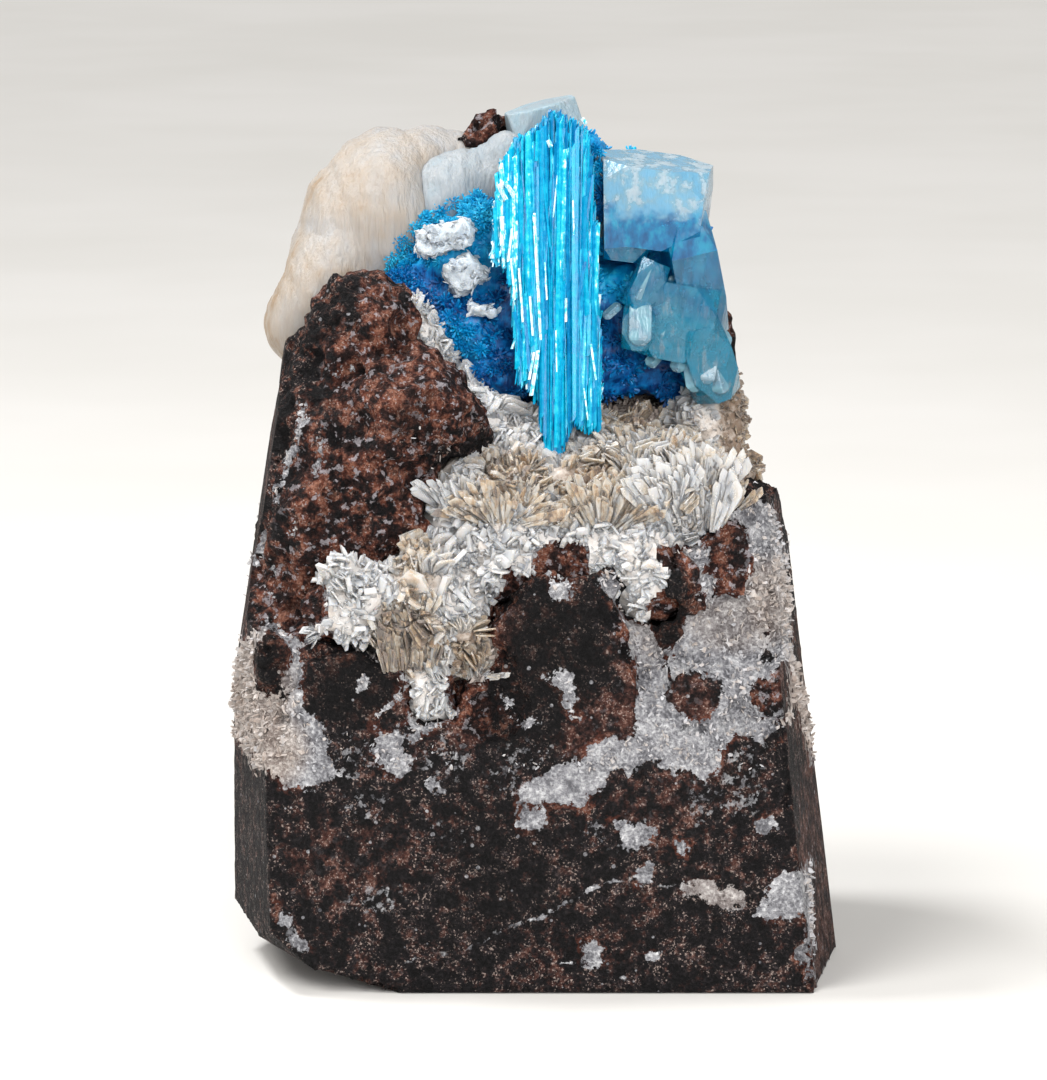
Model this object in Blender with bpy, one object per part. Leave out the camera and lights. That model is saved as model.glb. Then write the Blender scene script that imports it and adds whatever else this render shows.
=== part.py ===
"""A cavansite specimen: a sawn, tapering piece of basalt breccia whose open pocket is lined with stilbite
and carries deep blue cavansite, a bright hanging spray of it, clear apophyllite and a cream stilbite mass.

Metres, +Z up. The piece stands on its sawn base. The origin is under the middle of its bounding box, and
the pocket faces -Y. Lengths in the tables below are millimetres, and point() and MM turn them into metres.
"""

import math
import random

import bmesh
import bpy
from mathutils import Euler, Matrix, Vector, noise
from mathutils.bvhtree import BVHTree

MM = 0.001
GAP = 0.3 * MM  # left between two minerals that touch
SEED = 7

# The rock: outlines of the tapering block, from the base up, as (height, left, right, front, back).
ROCK_LEVELS = [
    (-1.0, -15.0, 14.9, -11.0, 10.3),
    (10.0, -15.2, 13.9, -10.7, 10.1),
    (12.6, -15.1, 13.6, -9.5, 10.1),
    (16.4, -14.3, 12.9, -8.5, 9.9),
    (20.6, -13.0, 12.0, -6.6, 9.7),
    (22.6, -12.5, 11.2, -2.4, 9.5),
    (25.6, -12.2, 10.5, 1.0, 9.3),
    (31.5, -11.0, 9.3, 3.0, 9.0),
    (35.6, -7.4, 6.2, 3.8, 8.2),
]
ROCK_CORNER = 3.0  # how far the block's corners are cut back

# Lumps that grow out of the block, as (centre, radii, turn in degrees).
LEFT_SHOULDER = [
    ((-8.6, -3.4, 21.5), (4.9, 4.9, 7.0), (0, 0, 0)),
    ((-6.2, -3.9, 25.6), (4.0, 3.9, 4.0), (0, 12, 0)),
    ((-8.6, -2.4, 28.4), (3.1, 3.3, 4.3), (0, 8, 0)),
]
RIGHT_SHOULDER = [
    ((9.3, -3.9, 18.9), (3.2, 4.4, 4.2), (0, -8, 0)),
    ((8.8, 4.4, 25.8), (2.4, 4.0, 5.2), (0, -6, 0)),
]
TOP_KNOB = [((-1.9, 6.1, 36.6), (2.0, 2.0, 2.6), (0, 0, 0))]
# Rounded fragments of darker rock that stand proud of the pale cement on the front.
FRAGMENTS = [
    ((1.4, -8.1, 14.9), (3.7, 2.2, 5.0), (8, -10, 0)),
    ((2.4, -7.1, 18.9), (2.3, 1.7, 1.9), (0, 0, 0)),
    ((-8.3, -8.7, 13.7), (2.8, 1.9, 2.4), (0, 18, 0)),
    ((-12.1, -7.3, 15.3), (1.3, 1.7, 1.9), (0, 0, 0)),
    ((6.6, -7.9, 17.8), (1.5, 1.5, 2.7), (0, 14, 0)),
    ((7.4, -9.0, 13.7), (1.5, 1.2, 1.4), (0, 0, 0)),
    ((11.0, -7.4, 14.0), (1.4, 1.7, 1.9), (0, 0, 0)),
    ((9.3, -6.2, 20.2), (2.0, 1.8, 2.8), (0, -10, 0)),
]
ROCK_VOXEL = 0.42
ROCK_TRIANGLES = 4500
ROCK_ROUGHNESS = 0.7
ROCK_GRAIN = 3.2  # size of the broad lumps and ledges
PIT_COUNT = 26
PIT_RADIUS = 1.1
PIT_DEPTH = 0.65
LUMP_BUMPS = 0.12  # share of a lump's size
LUMP_GRAIN = 1.3

# Sawn faces, as (a point on the face, its outward direction).
SAWN_FACES = [
    ((0.0, 0.0, 0.0), (0.0, 0.0, -1.0)),
    ((-6.3, 0.0, 0.0), (-0.29, 0.0, -0.957)),
    ((-11.4, -10.0, 2.2), (-0.62, -0.36, -0.70)),
    ((0.0, -10.0, 4.0), (0.0, -1.0, 0.03)),
    ((12.9, -10.0, 0.0), (0.98, -0.17, 0.12)),
    ((-12.2, -10.0, 5.0), (-0.97, -0.24, -0.02)),
    ((-14.4, -1.0, 12.5), (-0.98, -0.06, 0.16)),
    ((14.1, -1.0, 2.0), (0.90, 0.40, 0.115)),
    ((-14.1, -1.0, 2.0), (-0.92, 0.38, 0.06)),
]
SAW_REACH = 45.0

# The minerals, each as lumps fused together.
DRUSE_LUMPS = [
    ((1.4, -3.4, 22.4), (6.9, 4.6, 2.1), (32, 0, 0)),
    ((0.6, -6.7, 19.7), (5.6, 1.9, 1.9), (30, 0, 0)),
    ((-4.6, -7.9, 17.6), (2.4, 1.6, 2.7), (0, -20, 0)),
    ((-8.0, -8.2, 17.8), (2.7, 1.3, 1.7), (0, 0, 0)),
    ((-4.9, -8.3, 14.2), (1.4, 1.1, 2.0), (0, 0, 0)),
    ((7.0, -4.6, 22.3), (2.7, 2.7, 2.3), (0, 10, 0)),
    ((5.6, -7.2, 18.9), (2.1, 1.4, 2.0), (0, 0, 0)),
    ((-2.8, -4.6, 21.5), (2.4, 2.9, 2.4), (0, 0, 0)),
    ((-3.1, -1.6, 25.2), (2.6, 1.7, 1.7), (0, 40, 0)),
    ((-5.6, -0.6, 29.0), (2.5, 1.3, 1.6), (0, 46, 0)),
    ((8.7, 0.6, 24.2), (1.9, 2.0, 3.6), (0, 0, 0)),
]
CREAM_LUMPS = [
    ((-7.2, 4.6, 33.5), (3.6, 2.9, 4.5), (0, 20, 0)),
    ((-10.2, 3.0, 30.6), (1.7, 2.3, 3.5), (0, 27, 0)),
    ((-7.3, 5.6, 36.0), (1.9, 2.0, 2.0), (0, 0, 0)),
    ((-4.6, 5.9, 36.1), (2.4, 2.1, 1.9), (0, 0, 0)),
]
MILKY_LUMPS = [
    ((-3.3, 3.6, 35.2), (2.4, 1.5, 1.9), (0, -8, 0)),
    ((-1.2, 3.7, 36.6), (1.2, 1.2, 1.7), (0, 0, 0)),
]
CRUST_LUMPS = [
    ((-5.6, 1.6, 30.9), (2.3, 1.7, 1.7), (0, -40, 0)),
    ((-3.5, 1.2, 32.9), (1.9, 1.7, 1.6), (0, 0, 0)),
    ((-1.9, 1.3, 34.0), (1.8, 1.6, 1.6), (0, 0, 0)),
    ((-3.2, 0.6, 29.7), (2.4, 2.0, 2.0), (0, 0, 0)),
    ((-1.5, 0.1, 27.6), (2.0, 1.9, 1.9), (0, 0, 0)),
    ((0.9, -0.1, 31.0), (1.9, 1.7, 4.2), (11, 0, 0)),
    ((0.3, 1.7, 31.2), (2.9, 1.9, 4.6), (0, 0, 0)),
    ((1.9, 2.5, 36.2), (1.9, 1.5, 2.9), (0, 0, 0)),
    ((4.6, 1.3, 30.6), (2.4, 2.2, 2.4), (0, 0, 0)),
    ((3.4, 0.8, 27.8), (2.2, 2.0, 1.9), (0, 0, 0)),
    ((6.1, 1.7, 28.0), (2.0, 1.9, 2.2), (0, 0, 0)),
    ((6.0, 2.5, 32.8), (2.4, 1.8, 2.7), (0, 0, 0)),
    ((4.4, 3.3, 36.7), (0.7, 0.7, 1.3), (0, 0, 0)),
]
MINERAL_VOXEL = 0.3
SOCKET_VOXEL = 0.3
SOCKET_SLACK = 0.08  # added to the gap, because a socket is coarser than what it holds
SOCKET_DENSITY = 1.05  # triangles of a socket to each square millimetre
DRUSE_TRIANGLES = 760
CREAM_TRIANGLES = 520
MILKY_TRIANGLES = 140
CRUST_TRIANGLES = 620

# Upright grooves in the cream mass.
RIB_PITCH = 1.9
RIB_DEPTH = 0.28
RIB_LEAN = 0.35
RIB_GRAIN = 4.0

# Crystals that stand on a mineral, as (length range, width, thickness), and how many are tried.
DRUSE_BLADE = ((1.4, 2.2), 1.15, 0.45)
DRUSE_BLADES = 150
CRUST_PRISM = ((0.9, 1.7), 0.42, 0.30)
CRUST_PRISMS = 70
BLADE_ROOT = 0.45  # share of a blade that is buried in what it grows from
BLADE_LEAN = 35  # degrees that a blade may lean from straight out

# The hanging spray leans forward as it goes down, and is a bundle of rows and columns of crystals.
SPRAY_TOP_Y = -1.0
SPRAY_FOOT_Y = -4.2
SPRAY_SPAN = (23.4, 40.0)  # heights at which those two depths hold
SPRAY_ROWS = (-0.75, 0.0, 0.75, 1.4)  # depths of the rows of crystals, front to back
SPRAY_CRYSTAL = (0.82, 0.8)  # width and depth of one
# Each column of crystals, left to right, as (across, its top, its foot).
SPRAY_COLUMNS = [
    (-1.35, 37.3, 32.3),
    (-0.7, 38.2, 27.3),
    (-0.1, 38.9, 27.5),
    (0.55, 39.5, 25.4),
    (1.15, 39.9, 23.5),
    (1.8, 39.8, 25.8),
    (2.45, 39.1, 25.2),
]
SPRAY_STEP = 1.1  # how much the rows behind stop short of the front one
SPRAY_CHISEL = 0.6  # how much shorter a crystal is at the back of its chisel end

# Clear crystals, as (centre, half sizes, turn in degrees, how far the corners are cut).
CLEAR_CRYSTALS = [
    ((5.4, -0.4, 35.7), (2.7, 1.9, 1.9), (6, 7, -8), 0.8),
    ((4.0, -0.5, 34.6), (1.3, 1.5, 1.6), (0, 8, 12), 0.5),
    ((7.4, -0.6, 32.3), (1.1, 1.5, 2.9), (4, -12, 10), 0.7),
    ((6.7, -1.3, 30.2), (1.8, 1.3, 1.8), (0, 10, -6), 0.6),
    ((8.0, -1.2, 28.4), (1.1, 1.3, 1.9), (10, -20, 12), 0.6),
]
SMALL_CLEAR = [
    ((5.2, -2.0, 31.9), (0.7, 0.6, 1.2), (0, 24, 8), 0.35),
    ((4.9, -2.0, 30.0), (0.75, 0.6, 1.1), (0, 4, -6), 0.35),
]
# Small pale crystals on the blue: (centre, half sizes, turn, corner cut).
PALE_CRYSTALS = {
    "pale_stilbite_upper": ((-4.2, -0.6, 33.9), (1.4, 0.5, 0.65), (0, -12, 0), 0.25),
    "pale_stilbite_lower": ((-3.3, -0.9, 32.3), (0.9, 0.5, 0.8), (0, -35, 0), 0.25),
    "pale_stilbite_lens": ((-2.35, -1.5, 30.6), (0.75, 0.4, 0.32), (0, 8, 0), 0.2),
}
TOP_CRYSTAL = ((0.75, 5.4, 37.6), (1.7, 1.3, 2.1), (0, -14, 10), 0.7)

COLOURS = {
    "basalt": ((0.060, 0.028, 0.020, 1.0), 0.85),
    "stilbite": ((0.78, 0.71, 0.64, 1.0), 0.35),
    "cream": ((0.76, 0.66, 0.53, 1.0), 0.5),
    "milky": ((0.72, 0.76, 0.80, 1.0), 0.4),
    "deep_blue": ((0.005, 0.065, 0.36, 1.0), 0.4),
    "bright_blue": ((0.0, 0.33, 0.66, 1.0), 0.3),
    "clear": ((0.45, 0.72, 0.80, 1.0), 0.12),
}


def point(values):
    return Vector(values) * MM


def clear_scene():
    for obj in list(bpy.data.objects):
        bpy.data.objects.remove(obj)


def material(name):
    colour, roughness = COLOURS[name]
    made = bpy.data.materials.new(name)
    made.use_nodes = True
    shader = made.node_tree.nodes["Principled BSDF"]
    shader.inputs["Base Color"].default_value = colour
    shader.inputs["Roughness"].default_value = roughness
    shader.inputs["Metallic"].default_value = 0.0
    made.diffuse_color = colour
    return made


def link(name, bm):
    """Makes an object of a bmesh and puts it in the scene."""
    mesh = bpy.data.meshes.new(name)
    bm.to_mesh(mesh)
    bm.free()
    obj = bpy.data.objects.new(name, mesh)
    bpy.context.scene.collection.objects.link(obj)
    return obj


def settle(obj):
    """Replaces the mesh by what its modifiers make of it, and drops the modifiers."""
    bpy.context.view_layer.update()
    graph = bpy.context.evaluated_depsgraph_get()
    made = bpy.data.meshes.new_from_object(obj.evaluated_get(graph))
    obj.modifiers.clear()
    obj.data = made
    return obj


def drop(obj):
    bpy.data.objects.remove(obj)


def turned(centre, turn):
    angles = Euler([math.radians(a) for a in turn])
    return Matrix.Translation(point(centre)) @ angles.to_matrix().to_4x4()


def lump(centre, radii, turn):
    """A stone-like ball: an icosphere stretched to its radii, with low bumps."""
    bm = bmesh.new()
    bmesh.ops.create_icosphere(bm, subdivisions=4, radius=1.0)
    for v in bm.verts:
        v.co *= 1 + LUMP_BUMPS * noise.fractal(v.co * LUMP_GRAIN + Vector(centre), 1.0, 2.0, 3)
    bmesh.ops.scale(bm, vec=point(radii), verts=bm.verts)
    bmesh.ops.transform(bm, matrix=turned(centre, turn), verts=bm.verts)
    return link("lump", bm)


def block():
    """The tapering block: one eight-cornered outline for each level, bridged into a tower."""
    bm = bmesh.new()
    rings = []
    for height, left, right, front, back in ROCK_LEVELS:
        cut = ROCK_CORNER
        corners = [
            (left + cut, front), (right - cut, front), (right, front + cut), (right, back - cut),
            (right - cut, back), (left + cut, back), (left, back - cut), (left, front + cut),
        ]
        ring = [bm.verts.new(point((x, y, height))) for x, y in corners]
        rings.append([bm.edges.new((a, b)) for a, b in zip(ring, ring[1:] + ring[:1])])
    for lower, upper in zip(rings, rings[1:]):
        bmesh.ops.bridge_loops(bm, edges=lower + upper)
    for ring in (rings[0], rings[-1]):
        bmesh.ops.contextual_create(bm, geom=ring)
    bmesh.ops.recalc_face_normals(bm, faces=bm.faces)
    return link("block", bm)


def fuse(name, parts, voxel):
    """One closed skin over overlapping solids."""
    bm = bmesh.new()
    for part in parts:
        bm.from_mesh(part.data)
        drop(part)
    obj = link(name, bm)
    skin = obj.modifiers.new("skin", "REMESH")
    skin.mode = "VOXEL"
    skin.voxel_size = voxel * MM
    return settle(obj)


def roughen(obj, height, grain):
    """Moves each point along its normal by a fractal of the given grain, as on a broken surface."""
    bm = bmesh.new()
    bm.from_mesh(obj.data)
    bm.normal_update()
    for v in bm.verts:
        swell = noise.fractal(v.co / (grain * MM) + Vector((SEED, 0, 0)), 0.8, 2.1, 4)
        v.co += v.normal * swell * height * MM
    bm.to_mesh(obj.data)
    bm.free()


def pit(obj, count, radius, depth):
    """Presses round vesicles into the surface at points drawn from a seeded list."""
    draw = random.Random(SEED)
    bm = bmesh.new()
    bm.from_mesh(obj.data)
    bm.verts.ensure_lookup_table()
    bm.normal_update()
    centres = [bm.verts[draw.randrange(len(bm.verts))].co.copy() for _ in range(count)]
    reach = radius * MM
    for v in bm.verts:
        near = min((v.co - c).length for c in centres)
        if near < reach:
            v.co -= v.normal * depth * MM * (1 - (near / reach) ** 2)
    bm.to_mesh(obj.data)
    bm.free()


def thin_out(obj, triangles):
    """Lowers the mesh to about this many triangles, keeping its form."""
    obj.data.calc_loop_triangles()
    fewer = obj.modifiers.new("fewer", "DECIMATE")
    fewer.ratio = min(1.0, triangles / len(obj.data.loop_triangles))
    fewer.use_collapse_triangulate = True
    return settle(obj)


def keep_largest(obj):
    """Deletes crumbs that a cut has parted from the main piece."""
    bm = bmesh.new()
    bm.from_mesh(obj.data)
    left = set(bm.verts)
    islands = []
    while left:
        todo = [left.pop()]
        island = set(todo)
        while todo:
            for edge in todo.pop().link_edges:
                for v in edge.verts:
                    if v in left:
                        left.remove(v)
                        island.add(v)
                        todo.append(v)
        islands.append(island)
    main = max(islands, key=len)
    bmesh.ops.delete(bm, geom=[v for v in bm.verts if v not in main], context="VERTS")
    bm.to_mesh(obj.data)
    bm.free()


def combine(obj, other, operation):
    """Booleans other into or out of obj, then removes other."""
    joint = obj.modifiers.new("cut", "BOOLEAN")
    joint.operation = operation
    joint.object = other
    joint.solver = "EXACT"
    joint.use_self = True
    settle(obj)
    drop(other)
    keep_largest(obj)


def grown(obj):
    """A coarser copy that is larger all round, to cut the socket of obj from its neighbour."""
    bm = bmesh.new()
    bm.from_mesh(obj.data)
    socket = link("socket", bm)
    skin = socket.modifiers.new("skin", "REMESH")
    skin.mode = "VOXEL"
    skin.voxel_size = SOCKET_VOXEL * MM
    settle(socket)
    bm = bmesh.new()
    bm.from_mesh(socket.data)
    bm.normal_update()
    steps = [(v, v.normal * (GAP + SOCKET_SLACK * MM)) for v in bm.verts]
    for v, step in steps:
        v.co += step
    bmesh.ops.smooth_vert(bm, verts=bm.verts, factor=0.3, use_axis_x=True, use_axis_y=True, use_axis_z=True)
    area = sum(f.calc_area() for f in bm.faces) / MM ** 2
    bm.to_mesh(socket.data)
    bm.free()
    return thin_out(socket, area * SOCKET_DENSITY)


def saw_block():
    """A convex solid bounded by the sawn faces: a large cube with each plane cut off it."""
    bm = bmesh.new()
    bmesh.ops.create_cube(bm, size=2 * SAW_REACH * MM)
    for spot, outward in SAWN_FACES:
        cut = bmesh.ops.bisect_plane(
            bm, geom=bm.verts[:] + bm.edges[:] + bm.faces[:],
            plane_co=point(spot), plane_no=Vector(outward), clear_outer=True,
        )
        rim = [e for e in cut["geom_cut"] if isinstance(e, bmesh.types.BMEdge)]
        bmesh.ops.contextual_create(bm, geom=rim)
    bmesh.ops.recalc_face_normals(bm, faces=bm.faces)
    return link("saw_block", bm)


def rock():
    lumps = LEFT_SHOULDER + RIGHT_SHOULDER + TOP_KNOB + FRAGMENTS
    obj = fuse("basalt_matrix", [block()] + [lump(*shape) for shape in lumps], ROCK_VOXEL)
    roughen(obj, ROCK_ROUGHNESS, ROCK_GRAIN)
    pit(obj, PIT_COUNT, PIT_RADIUS, PIT_DEPTH)
    thin_out(obj, ROCK_TRIANGLES)
    combine(obj, saw_block(), "INTERSECT")
    return obj


def mineral(name, lumps, triangles, rough=0.25, grain=1.4):
    obj = fuse(name, [lump(*shape) for shape in lumps], MINERAL_VOXEL)
    roughen(obj, rough, grain)
    return thin_out(obj, triangles)


def rib(obj):
    """Presses upright grooves into a mass of blades that stand side by side."""
    bm = bmesh.new()
    bm.from_mesh(obj.data)
    bm.normal_update()
    for v in bm.verts:
        across = v.co.x + RIB_LEAN * v.co.z
        wander = 3 * noise.noise(v.co / (RIB_GRAIN * MM))
        swell = math.sin(across / (RIB_PITCH * MM) * math.tau + wander)
        v.co += v.normal * RIB_DEPTH * MM * swell
    bm.to_mesh(obj.data)
    bm.free()


def blade(length, width, thickness):
    """A flat six-sided blade with a pointed end, standing on its root along +Z."""
    bm = bmesh.new()
    bmesh.ops.create_circle(bm, cap_ends=True, segments=6, radius=1.0)
    face = bm.faces[:]
    made = bmesh.ops.extrude_face_region(bm, geom=face)
    top = [v for v in made["geom"] if isinstance(v, bmesh.types.BMVert)]
    bmesh.ops.translate(bm, vec=(0, 0, 1), verts=top)
    bmesh.ops.recalc_face_normals(bm, faces=bm.faces)
    bmesh.ops.translate(bm, vec=(0, 0, -0.5), verts=bm.verts)
    bmesh.ops.scale(bm, vec=(length * MM / 2, width * MM / 2, thickness * MM), verts=bm.verts)
    bmesh.ops.rotate(bm, matrix=Matrix.Rotation(math.radians(-90), 3, "Y"), verts=bm.verts)
    bmesh.ops.translate(bm, vec=(0, 0, length * MM * (0.5 - BLADE_ROOT)), verts=bm.verts)
    return bm


def tree_of(obj):
    obj.data.calc_loop_triangles()
    return BVHTree.FromPolygons(
        [v.co for v in obj.data.vertices],
        [t.vertices for t in obj.data.loop_triangles],
    )


def is_clear(bm, trees):
    """True if the crystal neither crosses a neighbour nor comes within the gap of it."""
    own = BVHTree.FromBMesh(bm)
    for tree in trees:
        if own.overlap(tree):
            return False
        for v in bm.verts:
            spot, normal, _, distance = tree.find_nearest(v.co)
            if distance < GAP or (v.co - spot).dot(normal) < 0:
                return False
    return True


def grow(obj, neighbours, sizes, tries, seed):
    """Fuses seeded blades onto the outside of a mineral, leaving out those that would meet a neighbour."""
    draw = random.Random(seed)
    (shortest, longest), width, thickness = sizes
    trees = [tree_of(n) for n in neighbours]
    lean = math.radians(BLADE_LEAN)
    obj.data.calc_loop_triangles()
    mesh = obj.data
    areas = [t.area for t in mesh.loop_triangles]
    spots = draw.choices(mesh.loop_triangles, weights=areas, k=tries)
    crystals = bmesh.new()
    for triangle in spots:
        a, b, c = (mesh.vertices[i].co for i in triangle.vertices)
        normal = (b - a).cross(c - a).normalized()
        tilt = Euler([draw.uniform(-lean, lean) for _ in range(3)]).to_matrix()
        stand = normal.to_track_quat("Z", "Y").to_matrix() @ tilt
        spin = Matrix.Rotation(draw.uniform(0, math.pi), 3, "Z")
        size = draw.uniform(0.8, 1.2)
        bm = blade(draw.uniform(shortest, longest), width * size, thickness * size)
        place = Matrix.Translation((a + b + c) / 3) @ (stand @ spin).to_4x4()
        bmesh.ops.transform(bm, matrix=place, verts=bm.verts)
        if is_clear(bm, trees):
            spare = bpy.data.meshes.new("crystal")
            bm.to_mesh(spare)
            crystals.from_mesh(spare)
            bpy.data.meshes.remove(spare)
        bm.free()
    combine(obj, link("crystals", crystals), "UNION")


def cut_crystal(centre, half_sizes, turn, corner):
    """A blocky crystal: a box whose corners are cut by flat faces."""
    bm = bmesh.new()
    bmesh.ops.create_cube(bm, size=2.0)
    bmesh.ops.scale(bm, vec=point(half_sizes), verts=bm.verts)
    half = point(half_sizes)
    for signs in [(x, y, z) for x in (-1, 1) for y in (-1, 1) for z in (-1, 1)]:
        outward = Vector([s / h for s, h in zip(signs, half)])
        tip = Vector([s * h for s, h in zip(signs, half)])
        spot = tip * (1 - corner * MM / half.length)
        cut = bmesh.ops.bisect_plane(
            bm, geom=bm.verts[:] + bm.edges[:] + bm.faces[:],
            plane_co=spot, plane_no=outward, clear_outer=True,
        )
        rim = [e for e in cut["geom_cut"] if isinstance(e, bmesh.types.BMEdge)]
        bmesh.ops.contextual_create(bm, geom=rim)
    bmesh.ops.recalc_face_normals(bm, faces=bm.faces)
    bmesh.ops.transform(bm, matrix=turned(centre, turn), verts=bm.verts)
    return link("crystal", bm)


def cluster(name, crystals):
    """Blocky crystals grown into one another."""
    obj = cut_crystal(*crystals[0])
    obj.name = name
    for shape in crystals[1:]:
        combine(obj, cut_crystal(*shape), "UNION")
    return obj


def prism(top, foot, width, depth, turn):
    """One long crystal of the spray: a four-sided prism with a chisel end, from its top to its foot."""
    bm = bmesh.new()
    bmesh.ops.create_cube(bm, size=1.0)
    length = (foot - top).length
    bmesh.ops.scale(bm, vec=(width * MM, depth * MM, length), verts=bm.verts)
    shared = [v for v in bm.verts if v.co.z * v.co.y < 0]
    bmesh.ops.scale(bm, vec=(1, 1, 1 - SPRAY_CHISEL * MM * 2 / length), verts=shared)
    middle = (top + foot) / 2
    stand = (top - foot).to_track_quat("Z", "Y").to_matrix() @ Matrix.Rotation(turn, 3, "Z")
    bmesh.ops.transform(bm, matrix=Matrix.Translation(middle) @ stand.to_4x4(), verts=bm.verts)
    return bm


def hanging_depth(height):
    """How far forward the spray leans at a height."""
    low, high = SPRAY_SPAN
    share = (height - low) / (high - low)
    return SPRAY_FOOT_Y + share * (SPRAY_TOP_Y - SPRAY_FOOT_Y)


def spray():
    """The hanging column: rows of long crystals, side by side, ending at different heights."""
    draw = random.Random(SEED + 1)
    obj = None
    for row, behind in enumerate(SPRAY_ROWS):
        for across, high, low in SPRAY_COLUMNS:
            top_z = high - row * SPRAY_STEP * draw.uniform(0.3, 1.0)
            low_z = low + row * SPRAY_STEP * draw.uniform(0.5, 1.2)
            x = across + draw.uniform(-0.1, 0.1)
            start = point((x, hanging_depth(top_z) + behind, top_z))
            end = point((x + draw.uniform(-0.15, 0.15), hanging_depth(low_z) + behind, low_z))
            width, depth = SPRAY_CRYSTAL
            bm = prism(start, end, width * draw.uniform(0.9, 1.15), depth, draw.uniform(-0.12, 0.12))
            crystal = link("cavansite_spray", bm)
            if obj:
                combine(obj, crystal, "UNION")
            else:
                obj = crystal
    return obj


def dress(obj, name):
    obj.data.materials.clear()
    obj.data.materials.append(material(name))


def build():
    clear_scene()
    matrix = rock()
    druse = mineral("stilbite_druse", DRUSE_LUMPS, DRUSE_TRIANGLES)
    cream = fuse("cream_stilbite", [lump(*shape) for shape in CREAM_LUMPS], MINERAL_VOXEL)
    rib(cream)
    cream = thin_out(cream, CREAM_TRIANGLES)
    milky = mineral("milky_stilbite", MILKY_LUMPS, MILKY_TRIANGLES)
    crust = mineral("cavansite_crust", CRUST_LUMPS, CRUST_TRIANGLES, rough=0.35, grain=1.1)
    hanging = spray()
    clear = cluster("clear_apophyllite", CLEAR_CRYSTALS + SMALL_CLEAR)
    top = cluster("milky_top_crystal", [TOP_CRYSTAL])
    pale = [cluster(name, [shape]) for name, shape in PALE_CRYSTALS.items()]

    # Each mineral sits in a socket cut from those that it grew on.
    sockets = [
        (clear, [hanging]),
        (matrix, [druse, cream, milky, crust, top, clear]),
        (cream, [milky, crust, top]),
        (druse, [crust, hanging, clear]),
        (milky, [crust, top]),
        (top, [crust]),
        (crust, [hanging, clear] + pale),
    ]
    for host, guests in sockets:
        for guest in guests:
            combine(host, grown(guest), "DIFFERENCE")

    grow(druse, [matrix, crust, hanging, clear, cream], DRUSE_BLADE, DRUSE_BLADES, SEED + 3)
    others = [matrix, druse, cream, milky, hanging, clear, top] + pale
    grow(crust, others, CRUST_PRISM, CRUST_PRISMS, SEED + 4)

    finishes = {
        "basalt": [matrix], "stilbite": [druse] + pale, "cream": [cream],
        "milky": [milky, top], "deep_blue": [crust], "bright_blue": [hanging], "clear": [clear],
    }
    for finish, objects in finishes.items():
        for obj in objects:
            dress(obj, finish)


build()
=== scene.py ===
# %% [markdown]
# # A cavansite specimen
# This lesson dresses a small mineral specimen that already exists as plain solids: a sawn block of basalt
# breccia with an open pocket. In the pocket grow white and beige stilbite plates, a crust of deep blue
# cavansite needles, one bright hanging spray of cavansite, clear apophyllite and a cream stilbite mass.
# The solids give the place and the size of each mineral. Here each one gets its fine surface, its small
# crystals and its material. Everything is in metres, +Z is up, and the pocket faces -Y.

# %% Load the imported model
import math
import random

import bmesh
import bpy
import numpy as np
from mathutils import Euler, Matrix, Vector, noise
from mathutils.bvhtree import BVHTree


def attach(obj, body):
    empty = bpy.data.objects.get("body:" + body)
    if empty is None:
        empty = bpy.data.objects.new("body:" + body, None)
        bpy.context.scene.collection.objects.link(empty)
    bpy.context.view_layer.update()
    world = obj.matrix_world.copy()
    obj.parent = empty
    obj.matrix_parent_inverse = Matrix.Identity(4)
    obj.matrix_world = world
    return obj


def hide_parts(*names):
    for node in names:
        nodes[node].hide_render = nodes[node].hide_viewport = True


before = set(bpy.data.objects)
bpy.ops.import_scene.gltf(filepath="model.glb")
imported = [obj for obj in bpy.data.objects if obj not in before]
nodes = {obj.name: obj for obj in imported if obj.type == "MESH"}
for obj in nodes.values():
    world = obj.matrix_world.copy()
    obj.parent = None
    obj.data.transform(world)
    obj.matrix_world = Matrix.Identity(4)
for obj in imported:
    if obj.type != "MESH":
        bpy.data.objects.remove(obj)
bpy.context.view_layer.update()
MM = 0.001
print("minerals:", sorted(nodes))

# %% [markdown]
# ## The camera, and where things are seen
# A close-up lens looks at the front from slightly above. The camera is worked out first, because the
# photograph is also the drawing from which the outlines are taken: a place in it, counted in its pixels,
# is a straight line from the lens, and what lies on that line is found by following it to the surface.

# %% Camera
PICTURE = (1047, 1080)
AIM = Vector((-0.0005, -0.004, 0.0202))
CAMERA_DISTANCE = 260 * MM
CAMERA_RISE = math.radians(10)
camera_data = bpy.data.cameras.new("camera")
camera_data.lens = 186
camera_data.sensor_width = 36
camera_data.clip_start = 0.01
camera_data.clip_end = 20
camera = bpy.data.objects.new("camera", camera_data)
bpy.context.scene.collection.objects.link(camera)
bpy.context.scene.camera = camera
towards_camera = Vector((0, -math.cos(CAMERA_RISE), math.sin(CAMERA_RISE)))
camera.location = AIM + towards_camera * CAMERA_DISTANCE
camera.rotation_euler = (-towards_camera).to_track_quat("-Z", "Y").to_euler()
PIXELS_PER_SLOPE = camera_data.lens / camera_data.sensor_width * PICTURE[1]
EYE = camera.location.copy()
EYE_UP = Vector((1, 0, 0)).cross(-towards_camera)


def sight(u, v):
    """The direction from the lens through one place of the photograph."""
    across = (u - PICTURE[0] / 2) / PIXELS_PER_SLOPE
    rise = (PICTURE[1] / 2 - v) / PIXELS_PER_SLOPE
    return -towards_camera + Vector((across, 0, 0)) + EYE_UP * rise


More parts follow.
